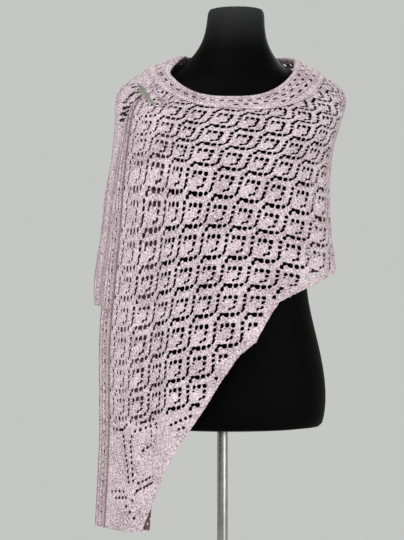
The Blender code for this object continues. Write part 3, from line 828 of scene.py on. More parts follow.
@dataclass(frozen=True)
class LeafChart:
    """The leaf lace: the holes round one leaf, and how the leaf and its ribs swell."""

    stitches: float = 10.0
    rounds: float = 22.0
    leaf_swell: float = 0.0016
    rib_swell: float = 0.0007
    column_lines: tuple[float, ...] = (
        0.0, 0.052, 0.11, 0.155, 0.21, 0.27, 0.355, 0.405, 0.455, 0.505, 0.56, 0.606, 0.66,
        0.72, 0.806, 0.88, 0.954,
    )
    row_lines: tuple[float, ...] = (
        0.0, 0.055, 0.10, 0.165, 0.215, 0.27, 0.32, 0.378, 0.44, 0.50, 0.56, 0.62, 0.67,
        0.72, 0.78, 0.84, 0.92,
    )
    holes: tuple[Hole, ...] = (
        Hole(0.00, 0.00, Size.BIG, 0.1, 0.90, 0.84),
        Hole(0.00, 0.19, Size.MIDDLE, 0.2),
        Hole(0.00, 0.378, Size.MIDDLE, 0.3, 0.9),
        Hole(-0.02, 0.54, Size.MIDDLE, 0.5, 0.8, 0.85),
        Hole(0.11, 0.84, Size.BIG, -0.1, 0.88, 0.80),
        Hole(0.197, 0.70, Size.MIDDLE),
        Hole(0.405, 0.726, Size.BIG),
        Hole(0.606, 0.72, Size.BIG, 0.1, 0.92, 0.95),
        Hole(0.806, 0.69, Size.BIG, 0.2, 0.88, 0.95),
        Hole(0.95, 0.59, Size.MIDDLE, 0.3, 0.62, 0.9),
        Hole(0.224, 0.215, Size.SMALL),
        Hole(0.27, 0.060, Size.BIG, 0.0, 0.82, 0.85),
        Hole(0.455, 0.060, Size.BIG, 0.0, 0.95, 0.95),
        Hole(0.67, 0.068, Size.BIG, -0.2, 0.92),
        Hole(0.655, 0.26, Size.MIDDLE, 0.2, 0.9),
        Hole(0.634, 0.455, Size.MIDDLE, 0.5, 0.85, 1.1),
        Hole(0.48, 0.52, Size.SMALL, 0.3, 1.1, 1.1),
    )

    @staticmethod
    def lattice(first: float, last: float, shares: Sequence[float]) -> Array:
        """Lines at shares of each repeat between two numbers, with both of them.

        Args:
            first: the first number.
            last: the last number.
            shares: where the lines lie in a repeat.

        Returns:
            The lines.
        """
        whole = np.arange(math.floor(first), math.ceil(last))
        lines = (whole[:, None] + np.array(shares)[None, :]).ravel()
        lines = lines[(lines > first + 0.01) & (lines < last - 0.01)]
        return np.concatenate([[first], lines, [last]])

    def swell(self, column: Array, row: Array) -> Array:
        """How far the leaves and ribs stand out.

        Args:
            column: column numbers.
            row: row numbers.

        Returns:
            The height of the relief, in metres.
        """
        u = (column - 0.33 + 0.5) % 1.0 - 0.5
        v = (row - 0.38 + 0.5) % 1.0 - 0.5
        leaf = np.exp(-(u / 0.20) ** 2 - (v / 0.20) ** 2)
        rib = (row - 0.90 + 0.05 * np.sin(2 * math.pi * column) + 0.5) % 1.0 - 0.5
        return self.leaf_swell * leaf + self.rib_swell * np.exp(-(rib / 0.05) ** 2)

    def spread(self, columns: tuple[float, float], rows: tuple[float, float],
               opening: Callable[[float, float], tuple[float, float]]) -> list[Hole]:
        """Repeat the chart over a block.

        Args:
            columns: first and last column.
            rows: first and last row.
            opening: how wide and tall the holes stand open at a column and row.

        Returns:
            The holes whose middles lie in the block.
        """
        found = []
        for column in range(math.floor(columns[0]) - 1, math.ceil(columns[1]) + 1):
            for row in range(math.floor(rows[0]) - 1, math.ceil(rows[1]) + 1):
                for hole in self.holes:
                    a, d = column + hole.across, row + hole.down
                    if columns[0] < a < columns[1] and rows[0] < d < rows[1]:
                        found.append(hole.moved(column, row, *opening(a, d)))
        return found


@dataclass
class KnitShell:
    """A thin shell of cloth, cut along its outline and round its holes from a fine lattice."""

    name: str
    first: Array
    second: Array
    outline: Callable[[Array, Array], Array]
    place: Place
    stitches: tuple[float, float]
    holes: Sequence[Hole] = ()
    # shade gives painted shade on both sides; hidden gives painted shade on the side towards the front
    shade: Place | None = None
    hidden: Place | None = None
    thickness: float = 0.0017
    edge_margin: float = 0.05

    def cloth(self, a: Array, b: Array) -> Array:
        """How far inside the cloth each lattice point lies, in repeats, below 0 outside it.

        Args:
            a: first lattice coordinates.
            b: second lattice coordinates.

        Returns:
            The distances.
        """
        edge = self.outline(a, b)
        value = np.full(a.shape, 1.0)
        for hole in self.holes:
            wide, tall = hole.size.value[0] * hole.wide, hole.size.value[1] * hole.tall
            low = np.searchsorted(self.first, hole.across - 3 * wide)
            high = np.searchsorted(self.first, hole.across + 3 * wide)
            top = np.searchsorted(self.second, hole.down - 2 * tall)
            base = np.searchsorted(self.second, hole.down + 2 * tall)
            block = (slice(low, high), slice(top, base))
            if low >= high or top >= base or edge[block].min() < self.edge_margin:
                continue
            down = (b[block] - hole.down) / tall
            across = (a[block] - hole.across + hole.lean * down * tall) / wide
            gap = ((np.abs(across) ** 3 + np.abs(down) ** 3) ** (1 / 3) - 1) * min(wide, tall)
            value[block] = np.minimum(value[block], gap)
        return np.minimum(value, edge)

    def trace(self) -> tuple[Array, list[list[int]]]:
        """Cut the lattice where the cloth ends.

        Returns:
            The points, as lattice coordinates, and the faces.
        """
        a, b = np.meshgrid(self.first, self.second, indexing="ij")
        value = self.cloth(a, b)
        value = np.where(np.abs(value) < 1e-7, 1e-7, value)
        lattice = np.stack([a, b], -1)
        number = np.arange(value.size).reshape(value.shape)
        along, down = self.crossings(value, lattice, 0), self.crossings(value, lattice, 1)
        points = np.concatenate([lattice.reshape(-1, 2), along.reshape(-1, 2), down.reshape(-1, 2)])
        on_along = value.size + np.arange(along.size // 2).reshape(along.shape[:2])
        on_down = value.size + along.size // 2 + np.arange(down.size // 2).reshape(down.shape[:2])
        tokens = (
            number[:-1, :-1], number[1:, :-1], number[1:, 1:], number[:-1, 1:],
            on_along[:, :-1], on_down[1:, :], on_along[:, 1:], on_down[:-1, :],
        )
        inside = [value.ravel()[corner] > 0 for corner in tokens[:4]]
        code = sum(flag * (1 << k) for k, flag in enumerate(inside))
        faces = []
        for case in range(1, 16):
            ring = []
            for k in range(4):
                here, after = case >> k & 1, case >> (k + 1) % 4 & 1
                ring += [k] * here + [4 + k] * (here != after)
            chosen = code == case
            faces += np.stack([tokens[t][chosen] for t in ring], -1).tolist()
        used = np.unique(np.concatenate([np.array(face) for face in faces]))
        renumber = np.zeros(len(points), int)
        renumber[used] = np.arange(len(used))
        return points[used], [renumber[face].tolist() for face in faces]

    @staticmethod
    def crossings(value: Array, lattice: Array, axis: int) -> Array:
        """Where the cloth's edge cuts the lattice lines of one direction.

        Args:
            value: how far inside the cloth each point lies.
            lattice: the points.
            axis: the direction of the lines.

        Returns:
            The cuts, one for each stretch of line.
        """
        here, after = np.delete(value, -1, axis), np.delete(value, 0, axis)
        start, end = np.delete(lattice, -1, axis), np.delete(lattice, 0, axis)
        step = np.where(here == after, 1.0, here - after)
        share = np.clip(here / step, 0.15, 0.85)[..., None]
        return start + (end - start) * share

    def build(self, material: bpy.types.Material) -> bpy.types.Object:
        """Mesh the shell.

        Args:
            material: its finish.

        Returns:
            The finished piece.
        """
        flat, faces = self.trace()
        mesh = bpy.data.meshes.new(self.name)
        mesh.from_pydata(self.place(flat[:, 0], flat[:, 1]).tolist(), [], faces)
        stitches = mesh.uv_layers.new(name="stitches")
        corner = np.empty(len(mesh.loops), int)
        mesh.loops.foreach_get("vertex_index", corner)
        coords = (flat * np.array(self.stitches))[corner]
        stitches.data.foreach_set("uv", coords.ravel().astype(np.float32))
        # Store the painted shade on the points for the wool to read
        if self.shade is not None:
            dark = mesh.attributes.new("shade", "FLOAT", "POINT")
            dark.data.foreach_set("value", self.shade(flat[:, 0], flat[:, 1]).astype(np.float32))
        mesh.materials.append(material)
        shell = bpy.data.objects.new(self.name, mesh)
        bpy.context.scene.collection.objects.link(shell)
        wall = shell.modifiers.new("Thickness", "SOLIDIFY")
        wall.thickness = self.thickness
        wall.offset = 0.0
        if self.hidden is not None:
            inner = mesh.attributes.new("hidden", "FLOAT", "POINT")
            inner.data.foreach_set("value", self.hidden(flat[:, 0], flat[:, 1]).astype(np.float32))
        finish_piece(shell)
        shell.data.shade_smooth()
        if self.hidden is not None:
            self.darken(shell.data)
        return shell

    @staticmethod
    def darken(mesh: bpy.types.Mesh) -> None:
        """Paint shade on the hidden cloth's side towards the front, where it shows through the lace.

        Args:
            mesh: the piece's mesh, which has both attributes.
        """
        count = len(mesh.vertices)
        dark, hidden, normals = np.empty(count), np.empty(count), np.empty(count * 3)
        mesh.attributes["shade"].data.foreach_get("value", dark)
        mesh.attributes["hidden"].data.foreach_get("value", hidden)
        mesh.vertices.foreach_get("normal", normals)
        dark = np.maximum(dark, hidden * (normals.reshape(-1, 3)[:, 1] < 0))
        mesh.attributes["shade"].data.foreach_set("value", dark.astype(np.float32))
        mesh.attributes.remove(mesh.attributes["hidden"])


def select_only(item: bpy.types.Object) -> None:
    """Make one object the only selected and active one.

    Args:
        item: the object.
    """
    for other in bpy.context.view_layer.objects:
        other.select_set(False)
    item.select_set(True)
    bpy.context.view_layer.objects.active = item


def finish_piece(item: bpy.types.Object) -> None:
    """Apply an object's modifiers and turn its faces outwards.

    Args:
        item: the object.
    """
    select_only(item)
    for modifier in list(item.modifiers):
        bpy.ops.object.modifier_apply(modifier=modifier.name)
    bpy.ops.object.mode_set(mode="EDIT")
    bpy.ops.mesh.select_all(action="SELECT")
    bpy.ops.mesh.normals_make_consistent(inside=False)
    bpy.ops.object.mode_set(mode="OBJECT")


def settle(item: bpy.types.Object) -> None:
    """Put an object's place, turn and scale into its mesh."""
    select_only(item)
    bpy.ops.object.transform_apply(location=True, rotation=True, scale=True)


@dataclass
class Stretch:
    """One stretch of the lace between two columns."""

    name: str
    first: float
    last: float
    lift: Callable[[Array, Array], Array]
    opening: Callable[[float, float], tuple[float, float]]
    pleat: Place
    # shade and hidden: painted shade, on both sides and on the side towards the front
    shade: Place
    scallop: float = 0.035
    scallops: float = 5.0
    wall: float = 0.002
    last_row: float = 17.0
    last_hole_column: float = 30.0
    extra: tuple[EyeletLine, ...] = ()
    hidden: Place | None = None

    def build(self, drape: Drape, plan: LacePlan, chart: LeafChart,
              wool: bpy.types.Material) -> bpy.types.Object:
        """Mesh the stretch.

        Args:
            drape: the surface it follows.
            plan: where its columns and rows lie.
            chart: its lace.
            wool: its finish.

        Returns:
            The stretch.
        """
        columns = chart.lattice(self.first, self.last, chart.column_lines)
        top, hem = plan.limits(columns)
        hem = hem - self.scallop * np.abs(np.cos(math.pi * columns * self.scallops))
        rows = chart.lattice(top.min() - 0.1, hem.max() + 0.1, chart.row_lines)

        def outline(column: Array, row: Array) -> Array:
            """How far inside the top and the hem a point lies."""
            above = row - np.interp(column, columns, top)
            return np.minimum(above, np.interp(column, columns, hem) - row)

        def place(column: Array, row: Array) -> Array:
            """A point of the stretch."""
            turn, ring, _, _ = plan.place(column, row)
            swell = chart.swell(column, row) * ease((ring - 1.2) / 1.5)
            out = self.lift(column, ring) + self.wall / 2 + swell + self.pleat(column, row)
            return drape.point(turn, ring, out)

        block = (self.first, min(self.last, self.last_hole_column))
        holes = chart.spread(block, (plan.first_row, self.last_row), self.opening)
        for line in self.extra:
            holes += line.holes()
        shell = KnitShell(self.name, columns, rows, outline, place, (chart.stitches, chart.rounds), holes,
                          self.shade, self.hidden)
        return shell.build(wool)


@dataclass
class TailFold:
    """The shawl's far end: a long fold whose back arm is tucked behind the front."""

    arm: float = 0.004
    tuck: float = 0.009
    reach: float = 0.075
    top_ring: float = 2.5
    bottom: float = 0.688
    pitch: float = 0.0022
    pleat_pitch: float = 0.0085
    pleat_depth: float = 0.0006
    repeat: tuple[float, float] = (0.040, 0.052)

    def lengths(self, plan: LacePlan, ring: Array) -> tuple[Array, Array, Array]:
        """The arm's radius and the lengths of the front arm and back arm at a ring.

        Args:
            plan: where the front's free edge lies.
            ring: ring numbers.

        Returns:
            Radius, front arm and back arm.
        """
        arm = self.arm * (0.62 + 0.38 * ease((ring - 3) / 3))
        shows = plan.fold_shows(ring)
        return arm, self.tuck + shows - arm, shows - arm + self.reach

    def build(self, drape: Drape, plan: LacePlan, chart: LeafChart,
              wool: bpy.types.Material) -> bpy.types.Object:
        """Mesh the fold.

        Args:
            drape: the surface it follows.
            plan: where the front's free edge lies.
            chart: its lace.
            wool: its finish.

        Returns:
            The fold.
        """
        top = float(drape.bare(np.array(-1.0), np.array(self.top_ring))[2])
        heights = np.linspace(top, self.bottom - 0.004, int((top - self.bottom) / self.pitch))
        _, rings = drape.seek(heights, np.full(len(heights), -1.0), lambda ring: plan.groove(heights))
        full = self.tuck + plan.fold_width + math.pi * self.arm + plan.fold_width + self.reach
        shares = np.linspace(0.0, 1.0, int(full / self.pitch))
        drop = (top - heights) / self.repeat[1]
        across = full / self.repeat[0]

        def outline(share: Array, row: Array) -> Array:
            """How far above the scalloped lower edge a point lies."""
            edge = drop[-1] - 0.02 - 0.05 * np.abs(np.sin(share * 24))
            return edge - row

        def runs(share: Array, row: Array) -> tuple[Array, ...]:
            """Ring, arm radius, front arm's length and way round the fold of each point."""
            ring = np.interp(row, drop, rings)
            arm, ahead, behind = self.lengths(plan, ring)
            return ring, arm, ahead, share / across * (ahead + math.pi * arm + behind)

        def place(share: Array, row: Array) -> Array:
            """A point of the fold."""
            _, arm, ahead, run = runs(share, row)
            height = top - row * self.repeat[1]
            groove = plan.groove(height)
            bend = groove + self.tuck - ahead
            angle = np.clip((run - ahead) / arm, 0, math.pi)
            past = np.maximum(run - ahead - math.pi * arm, 0)
            way = np.where(run < ahead, groove + self.tuck - run, bend - arm * np.sin(angle) + past)
            shown = ease((run - self.tuck - 0.002) / 0.004) * (angle <= 0)
            ripple = self.pleat_depth * np.cos(2 * math.pi * (run - self.tuck) / self.pleat_pitch) * shown
            turn, ring = drape.seek(height, np.full(len(height), -1.0), lambda _: way)
            return drape.point(turn, ring, arm * np.cos(angle) + ripple)

        def shade(share: Array, row: Array) -> Array:
            """Painted shade beside the front's free edge, where the crease lies, and in the pleats."""
            past = runs(share, row)[3] - self.tuck
            line = 0.5 + 0.5 * np.cos(2 * math.pi * (past / self.pleat_pitch - 0.5))
            return 0.95 * np.exp(-(past / 0.0062) ** 2) + 0.70 * line ** 5 * (past > 0.004) * (past < 0.04)

        def hidden(share: Array, row: Array) -> Array:
            """Painted shade on the tucked arms, where the front's slits show them."""
            _, arm, ahead, run = runs(share, row)
            return 0.92 * ((run > ahead + 2 * arm) | (run < self.tuck))

        holes = chart.spread((0.5, across), (0.3, float(drop[-1])), lambda a, d: (0.50, 0.8))
        lattice = shares * across
        shell = KnitShell("shawl_tail_fold_lace", lattice, drop, outline, place,
                          (chart.stitches, chart.rounds), holes, shade, hidden)
        return shell.build(wool)


@dataclass
class Collar:
    """The rolled top edge, in a front and a back length."""

    step: float = 14.0
    row_rings: float = 1.4
    roll_ring: float = 0.22
    roll_rise: float = 0.13
    inner_ring: float = 0.40
    flap_out: float = 0.0060
    edge_out: float = 0.0038
    slit_rows: tuple[float, ...] = (0.30, 0.58, 0.86, 1.14)
    slit_pitch: float = 0.5
    ridges: float = 22.4
    neck_lean: tuple[float, float, float] = (0.007, 0.0, 0.004)
    wall: float = 0.002
    edge: tuple[tuple[float, float], ...] = (
        (-64, 1.25), (-30, 1.15), (0, 1.30), (55, 2.15), (90, 1.75), (180, 1.60), (250, 1.40), (296, 1.25),
    )

    def build(self, name: str, first: float, last: float, drape: Drape, chart: LeafChart,
              wool: bpy.types.Material) -> bpy.types.Object:
        """Mesh one length of the collar.

        Args:
            name: the piece's name.
            first: where it starts, in degrees of turn.
            last: where it ends.
            drape: the surface it follows.
            chart: its lace.
            wool: its finish.

        Returns:
            The length.
        """
        columns = np.arange(first / self.step, last / self.step + 1e-6, 0.65 / self.step)
        columns = np.linspace(first / self.step, last / self.step, len(columns))
        edge = np.array(self.edge)
        lead = 0.5
        rows = np.arange(-lead, (edge[:, 1].max() - self.roll_ring) / self.row_rings + 0.06, 0.040)

        def low(column: Array) -> Array:
            """The row of the flap's lower edge."""
            ring = np.interp(column * self.step, edge[:, 0], edge[:, 1])
            return (ring - self.roll_ring) / self.row_rings - 0.03 * np.abs(np.sin(column * 17))

        def outline(column: Array, row: Array) -> Array:
            """How far above the flap's lower edge a point lies."""
            return low(column) - row

        def place(column: Array, row: Array) -> Array:
            """A point of the collar: up inside, over the roll and down outside."""
            middle = (self.flap_out + self.wall / 2) / 2
            roll = middle - self.wall / 2
            angle = np.clip((row + lead * 0.6) / (lead * 0.6), 0, 1) * math.pi
            inside = np.clip(-row / lead - 0.6, 0, 1)
            inner = self.roll_ring + (self.inner_ring - self.roll_ring) * inside / 0.4
            ring = np.where(row < -lead * 0.6, inner, self.roll_ring - self.roll_rise * np.sin(angle))
            ring = np.where(row > 0, self.roll_ring + row * self.row_rings, ring)
            share = ease((row / np.maximum(low(column), 0.1) - 0.45) / 0.55)
            flap = self.flap_out + (self.edge_out - self.flap_out) * share
            out = np.where(row > 0, flap, middle - roll * np.cos(angle))
            ridge = 0.0006 * np.cos(row * self.ridges) * ease(row / 0.2)
            point = drape.point(np.radians(column * self.step), ring, out + ridge)
            around = (column * self.step + 180) % 360 - 180
            near = ease((around + 122) / 24) * ease((-68 - around) / 18) * ease((1.1 - ring) / 0.9)
            return point + near[:, None] * np.array(self.neck_lean)

        def shade(column: Array, row: Array) -> Array:
            """Painted shade between the garter ridges of the flap."""
            valley = 0.5 - 0.5 * np.cos(row * self.ridges)
            return 0.38 * valley ** 3 * ease(row / 0.2) * ease((low(column) - row) / 0.1)

        shell = KnitShell(name, columns, rows, outline, place, (chart.stitches, 14.0),
                          self.slits(columns[0], columns[-1]), shade)
        return shell.build(wool)

    def slits(self, first: float, last: float) -> list[Hole]:
        """Rows of slits, flat in front and rounder over the shoulders.

        Args:
            first: the first column.
            last: the last column.

        Returns:
            The slits between them.
        """
        found = []
        for number, row in enumerate(self.slit_rows):
            start = math.ceil(first / self.slit_pitch) * self.slit_pitch
            for column in np.arange(start, last, self.slit_pitch) + self.slit_pitch / 2 * (number % 2):
                turn = abs((column * self.step + 180) % 360 - 180)
                shoulder = float(ease((turn - 50) / 20) * ease((150 - turn) / 30))
                size = Hole(float(column), row, Size.FLAT, 0.0, 1.0 - 0.42 * shoulder, 0.8 + 0.6 * shoulder)
                found.append(size)
        return found


@dataclass
class Shawl:
    """The knitted shawl: front, back, tail fold and collar, with its border."""

    drape: Drape
    plan: LacePlan
    chart: LeafChart
    wool: bpy.types.Material
    front_lift: float = 0.0068
    pleat_columns: float = 0.30
    pleat_depth: float = 0.0011
    collar: Collar = field(default_factory=Collar)
    fold: TailFold = field(default_factory=TailFold)
    cuts: tuple[tuple[tuple[float, float], float, str, tuple[str, ...]], ...] = (
        ((0.46, 0.81), 0.230, "draped", ("form_cover", "shawl_tail_fold_lace")),
        ((0.61, 0.48), 0.238, "draped", ("form_cover",)),
        ((0.157, 0.737), 0.110, "folded", ("form_cover",)),
    )
    roll_cuts: dict[str, tuple[tuple[float, float], float]] = field(default_factory=lambda: {
        "collar_front": ((0.41, 0.066), 0.0165), "collar_back": ((0.47, 0.076), 0.0227),
    })
    border_row: float = 11.85
    border: tuple[EyeletLine, ...] = (
        EyeletLine((0.66, 12.40), (1.11, 14.13), 10, Size.MIDDLE, 0.0, 0.9),
        EyeletLine((1.12, 12.62), (1.35, 14.10), 8, Size.MIDDLE, 0.0, 0.9),
        EyeletLine((1.44, 11.97), (2.28, 11.95), 5, Size.MIDDLE),
        EyeletLine((1.36, 12.24), (2.13, 12.18), 4, Size.MIDDLE, 0.0, 0.9),
        EyeletLine((2.44, 12.14), (2.56, 12.66), 4, Size.MIDDLE, 0.0, 0.9),
        EyeletLine((2.40, 12.83), (1.77, 13.08), 4, Size.MIDDLE),
        EyeletLine((2.19, 12.39), (2.19, 12.57), 2, Size.MIDDLE, 0.0, 0.9),
        EyeletLine((1.20, 12.42), (1.20, 12.44), 1, Size.MIDDLE, 0.0, 0.9),
        EyeletLine((1.62, 14.24), (3.09, 13.88), 9, Size.MIDDLE, 0.0, 0.9),
        EyeletLine((1.56, 14.54), (2.88, 14.16), 9, Size.MIDDLE, 0.0, 0.9),
        EyeletLine((1.50, 14.68), (1.34, 14.90), 2, Size.MIDDLE, 0.0, 0.9),
        EyeletLine((0.09, 14.56), (0.81, 14.52), 4, Size.MIDDLE, 0.0, 0.9),
        EyeletLine((0.36, 14.79), (0.96, 14.76), 4, Size.MIDDLE, 0.0, 0.9),
        EyeletLine((0.87, 11.95), (0.60, 12.14), 3, Size.MIDDLE, 0.0, 0.9),
        EyeletLine((0.45, 12.15), (0.03, 12.12), 3, Size.MIDDLE, 0.0, 0.9),
        EyeletLine((1.00, 15.10), (1.45, 15.55), 3, Size.MIDDLE),
        EyeletLine((3.30, 12.30), (4.30, 12.05), 6, Size.MIDDLE, 0.0, 0.9),
        EyeletLine((3.25, 12.62), (4.20, 12.40), 6, Size.MIDDLE, 0.0, 0.9),
        EyeletLine((3.30, 13.50), (4.20, 12.90), 5, Size.MIDDLE, 0.0, 0.9),
    )
    shoulder: tuple[EyeletLine, ...] = (
        EyeletLine((21.70, -2.25), (21.48, -1.84), 4, Size.BIG, 0.15, 1.6, 0.66),
        EyeletLine((21.62, -1.58), (21.72, -1.06), 3, Size.BIG, 0.0, 1.5, 1.0),
        EyeletLine((21.86, -1.78), (21.86, -1.26), 4, Size.MIDDLE, 0.0, 1.3, 0.85),
        EyeletLine((21.62, -2.40), (21.32, -2.52), 2, Size.BIG, -0.3, 1.1, 0.7),
        EyeletLine((21.05, -2.68), (20.20, -2.68), 4, Size.BIG, -0.3, 1.1, 0.7),
        EyeletLine((20.69, -2.50), (20.09, -2.46), 3, Size.BIG, -0.3, 1.1, 0.7),
    )

    def lift(self, column: Array, ring: Array) -> Array:
        """How far the front's free edge stands over the tail fold."""
        return self.front_lift * (1 - ease((column - 0.3) / 2.2)) * ease((ring - 1.5) / 0.7)

    @staticmethod
    def front_opening(column: float, row: float) -> tuple[float, float]:
        """Narrow slits at the free edge, open holes further on.

        Args:
            column: a column number.
            row: a row number.

        Returns:
            How wide and how tall the holes stand open.
        """
        closed = 1 - float(ease((column - 0.1) / 1.8))
        high = (1 - closed) * float(1 - ease((row - 1.5) / 3.5))
        return 1.0 - 0.36 * closed, 1.0 + 0.20 * closed + 0.18 * high

    @staticmethod
    def back_opening(column: float, row: float) -> tuple[float, float]:
        """Holes that close a little towards the left."""
        return 1.0 - 0.30 * float(ease((column - 17) / 3)), 1.0

    def front_pleat(self, column: Array, row: Array) -> Array:
        """The thick free edge."""
        return 0.0008 * np.exp(-((column - self.plan.edge_column - 0.10) / 0.06) ** 2)

    def front_shade(self, column: Array, row: Array) -> Array:
        """Painted shade along the free edge, and under the collar where its slits show it.

        Args:
            column: column numbers.
            row: row numbers.

        Returns:
            The depth of the shade, from 0 to 1.
        """
        edge = np.array(self.collar.edge)
        turn, ring, _, _ = self.plan.place(column, row)
        under = ease((np.interp(np.degrees(turn), edge[:, 0], edge[:, 1]) - 0.08 - ring) / 0.15)
        rim = 0.9 * np.exp(-((column - self.plan.edge_column) / 0.075) ** 2) * ease((row + 0.5) / 1.0)
        return np.maximum(rim, 0.75 * under)

    def pleats(self, column: Array) -> tuple[Array, Array]:
        """Where the back's pleats stand out, and how far they have set in.

        Args:
            column: column numbers.

        Returns:
            The wave and the share.
        """
        wave = np.cos(2 * math.pi * (column - self.plan.last_column) / self.pleat_columns)
        return wave, ease((column - 19.6) / 0.8)

    def back_pleat(self, column: Array, row: Array) -> Array:
        """The pleats beside the tail fold."""
        wave, share = self.pleats(column)
        return self.pleat_depth * wave * share * ease((row + 1.5) / 2)

    def back_shade(self, column: Array, row: Array) -> Array:
        """Painted shade in the pleats."""
        wave, share = self.pleats(column)
        return 0.85 * (0.5 - 0.5 * wave) ** 5 * share * ease((row + 1.5) / 2)

    @staticmethod
    def back_inside_shade(column: Array, row: Array) -> Array:
        """Painted shade on the back's inside, where the front's holes show it."""
        return 0.8 * ease((column - 10.0) / 0.6) * (1 - ease((column - 18.0) / 1.5))

    def build(self) -> list[tuple[bpy.types.Object, str]]:
        """Mesh all pieces.

        Returns:
            Each piece with the node that it replaces.
        """
        plan, common = self.plan, (self.drape, self.plan, self.chart, self.wool)
        front = Stretch("shawl_front_lace", plan.edge_column, plan.side_column, self.lift, self.front_opening,
                        self.front_pleat, self.front_shade, last_row=self.border_row, extra=self.border)
        back = Stretch("shawl_back_lace", plan.side_column, plan.last_column,
                       lambda column, ring: np.zeros_like(ring), self.back_opening, self.back_pleat,
                       self.back_shade, last_hole_column=20.4, extra=self.shoulder, hidden=self.back_inside_shade)
        rolls = (("collar_front", -64.0, 90.0), ("collar_back", 90.0, 296.0))
        pieces = [(front.build(*common), "shawl_front"), (back.build(*common), "shawl_back"),
                  (self.fold.build(*common), "shawl_tail_fold")]
        for (piece, _), (flat, area, held, rests_on) in zip(pieces, self.cuts):
            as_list(rests_on)
        for name, first, last in rolls:
            roll = self.collar.build(name + "_lace", first, last, self.drape, self.chart, self.wool)
            flat, area = self.roll_cuts[name]
            pieces.append((roll, name))
        return pieces


@dataclass(frozen=True)
class PinPoint:
    """A point of the pin: turn in degrees, ring, height over the surface, half width and thickness."""

    turn: float
    ring: float
    out: float
    half_width: float
    half_thick: float


@dataclass
class ShawlPin:
    """The pin: a leaf-shaped blade on the cloth that ends in an open curl of wire."""

    drape: Drape
    sides: int = 14
    stations: int = 96
    points: tuple[PinPoint, ...] = (
        PinPoint(-65.2, 2.08, 0.0108, 0.0012, 0.0008),
        PinPoint(-61.8, 2.13, 0.0108, 0.0030, 0.0010),
        PinPoint(-57.0, 2.21, 0.0109, 0.0044, 0.0011),
        PinPoint(-52.5, 2.29, 0.0109, 0.0042, 0.0012),
        PinPoint(-48.5, 2.39, 0.0109, 0.0028, 0.0013),
        PinPoint(-45.5, 2.49, 0.0108, 0.0017, 0.0014),
        PinPoint(-43.0, 2.52, 0.0106, 0.0015, 0.0014),
        PinPoint(-41.0, 2.43, 0.0104, 0.0014, 0.0014),
        PinPoint(-40.8, 2.24, 0.0102, 0.0013, 0.0013),
        PinPoint(-41.8, 2.06, 0.0100, 0.0012, 0.0012),
        PinPoint(-44.0, 1.92, 0.0098, 0.0012, 0.0012),
        PinPoint(-45.8, 1.91, 0.0098, 0.0011, 0.0011),
        PinPoint(-45.8, 2.01, 0.0100, 0.0010, 0.0010),
    )

    def build(self, silver: bpy.types.Material) -> bpy.types.Object:
        """Model the pin: a round bar of loops, laid along its path and flattened.

        Args:
            silver: its finish.

        Returns:
            The pin.
        """
        for other in bpy.context.selected_objects:
            other.select_set(False)
        bpy.ops.mesh.primitive_circle_add(vertices=self.sides, radius=1.0, location=(0.0, 0.0, 0.0))
        pin = bpy.context.active_object
        pin.name = "shawl_pin_blade"
        bpy.ops.object.mode_set(mode="EDIT")
        bpy.ops.mesh.select_all(action="SELECT")
        for _ in range(self.stations - 1):
            bpy.ops.mesh.extrude_region_move(TRANSFORM_OT_translate={"value": (0.0, 0.0, 1.0)})
        bpy.ops.mesh.select_all(action="SELECT")
        bpy.ops.mesh.fill_holes(sides=0)
        bpy.ops.object.mode_set(mode="OBJECT")
        table = np.array([(p.turn, p.ring, p.out, p.half_width, p.half_thick) for p in self.points])
        spots = np.linspace(0, len(table) - 1, self.stations)
        turn, ring, out, half_width, half_thick = np.moveaxis(smooth_rows(table, spots), -1, 0)
        line = self.drape.point(np.radians(turn), ring, out)
        along = np.gradient(line, axis=0)
        side = np.cross(along, line - self.drape.point(np.radians(turn), ring))
        side /= np.linalg.norm(side, axis=-1, keepdims=True)
        up = np.cross(side, along)
        up /= np.linalg.norm(up, axis=-1, keepdims=True)
        for vertex in pin.data.vertices:
            x, y, z = vertex.co
            k = round(z)
            vertex.co = line[k] + side[k] * (x * half_width[k]) + up[k] * (y * half_thick[k])
        finish_piece(pin)
        bpy.ops.object.shade_smooth_by_angle(angle=math.radians(50))
        pin.data.materials.append(silver)
        return pin


@dataclass(frozen=True)
class Section:
    """A level of the dress form: its half width, depths before and behind, and shift sideways."""

    height: float
    half_width: float
    front: float
    back: float
    shift: float


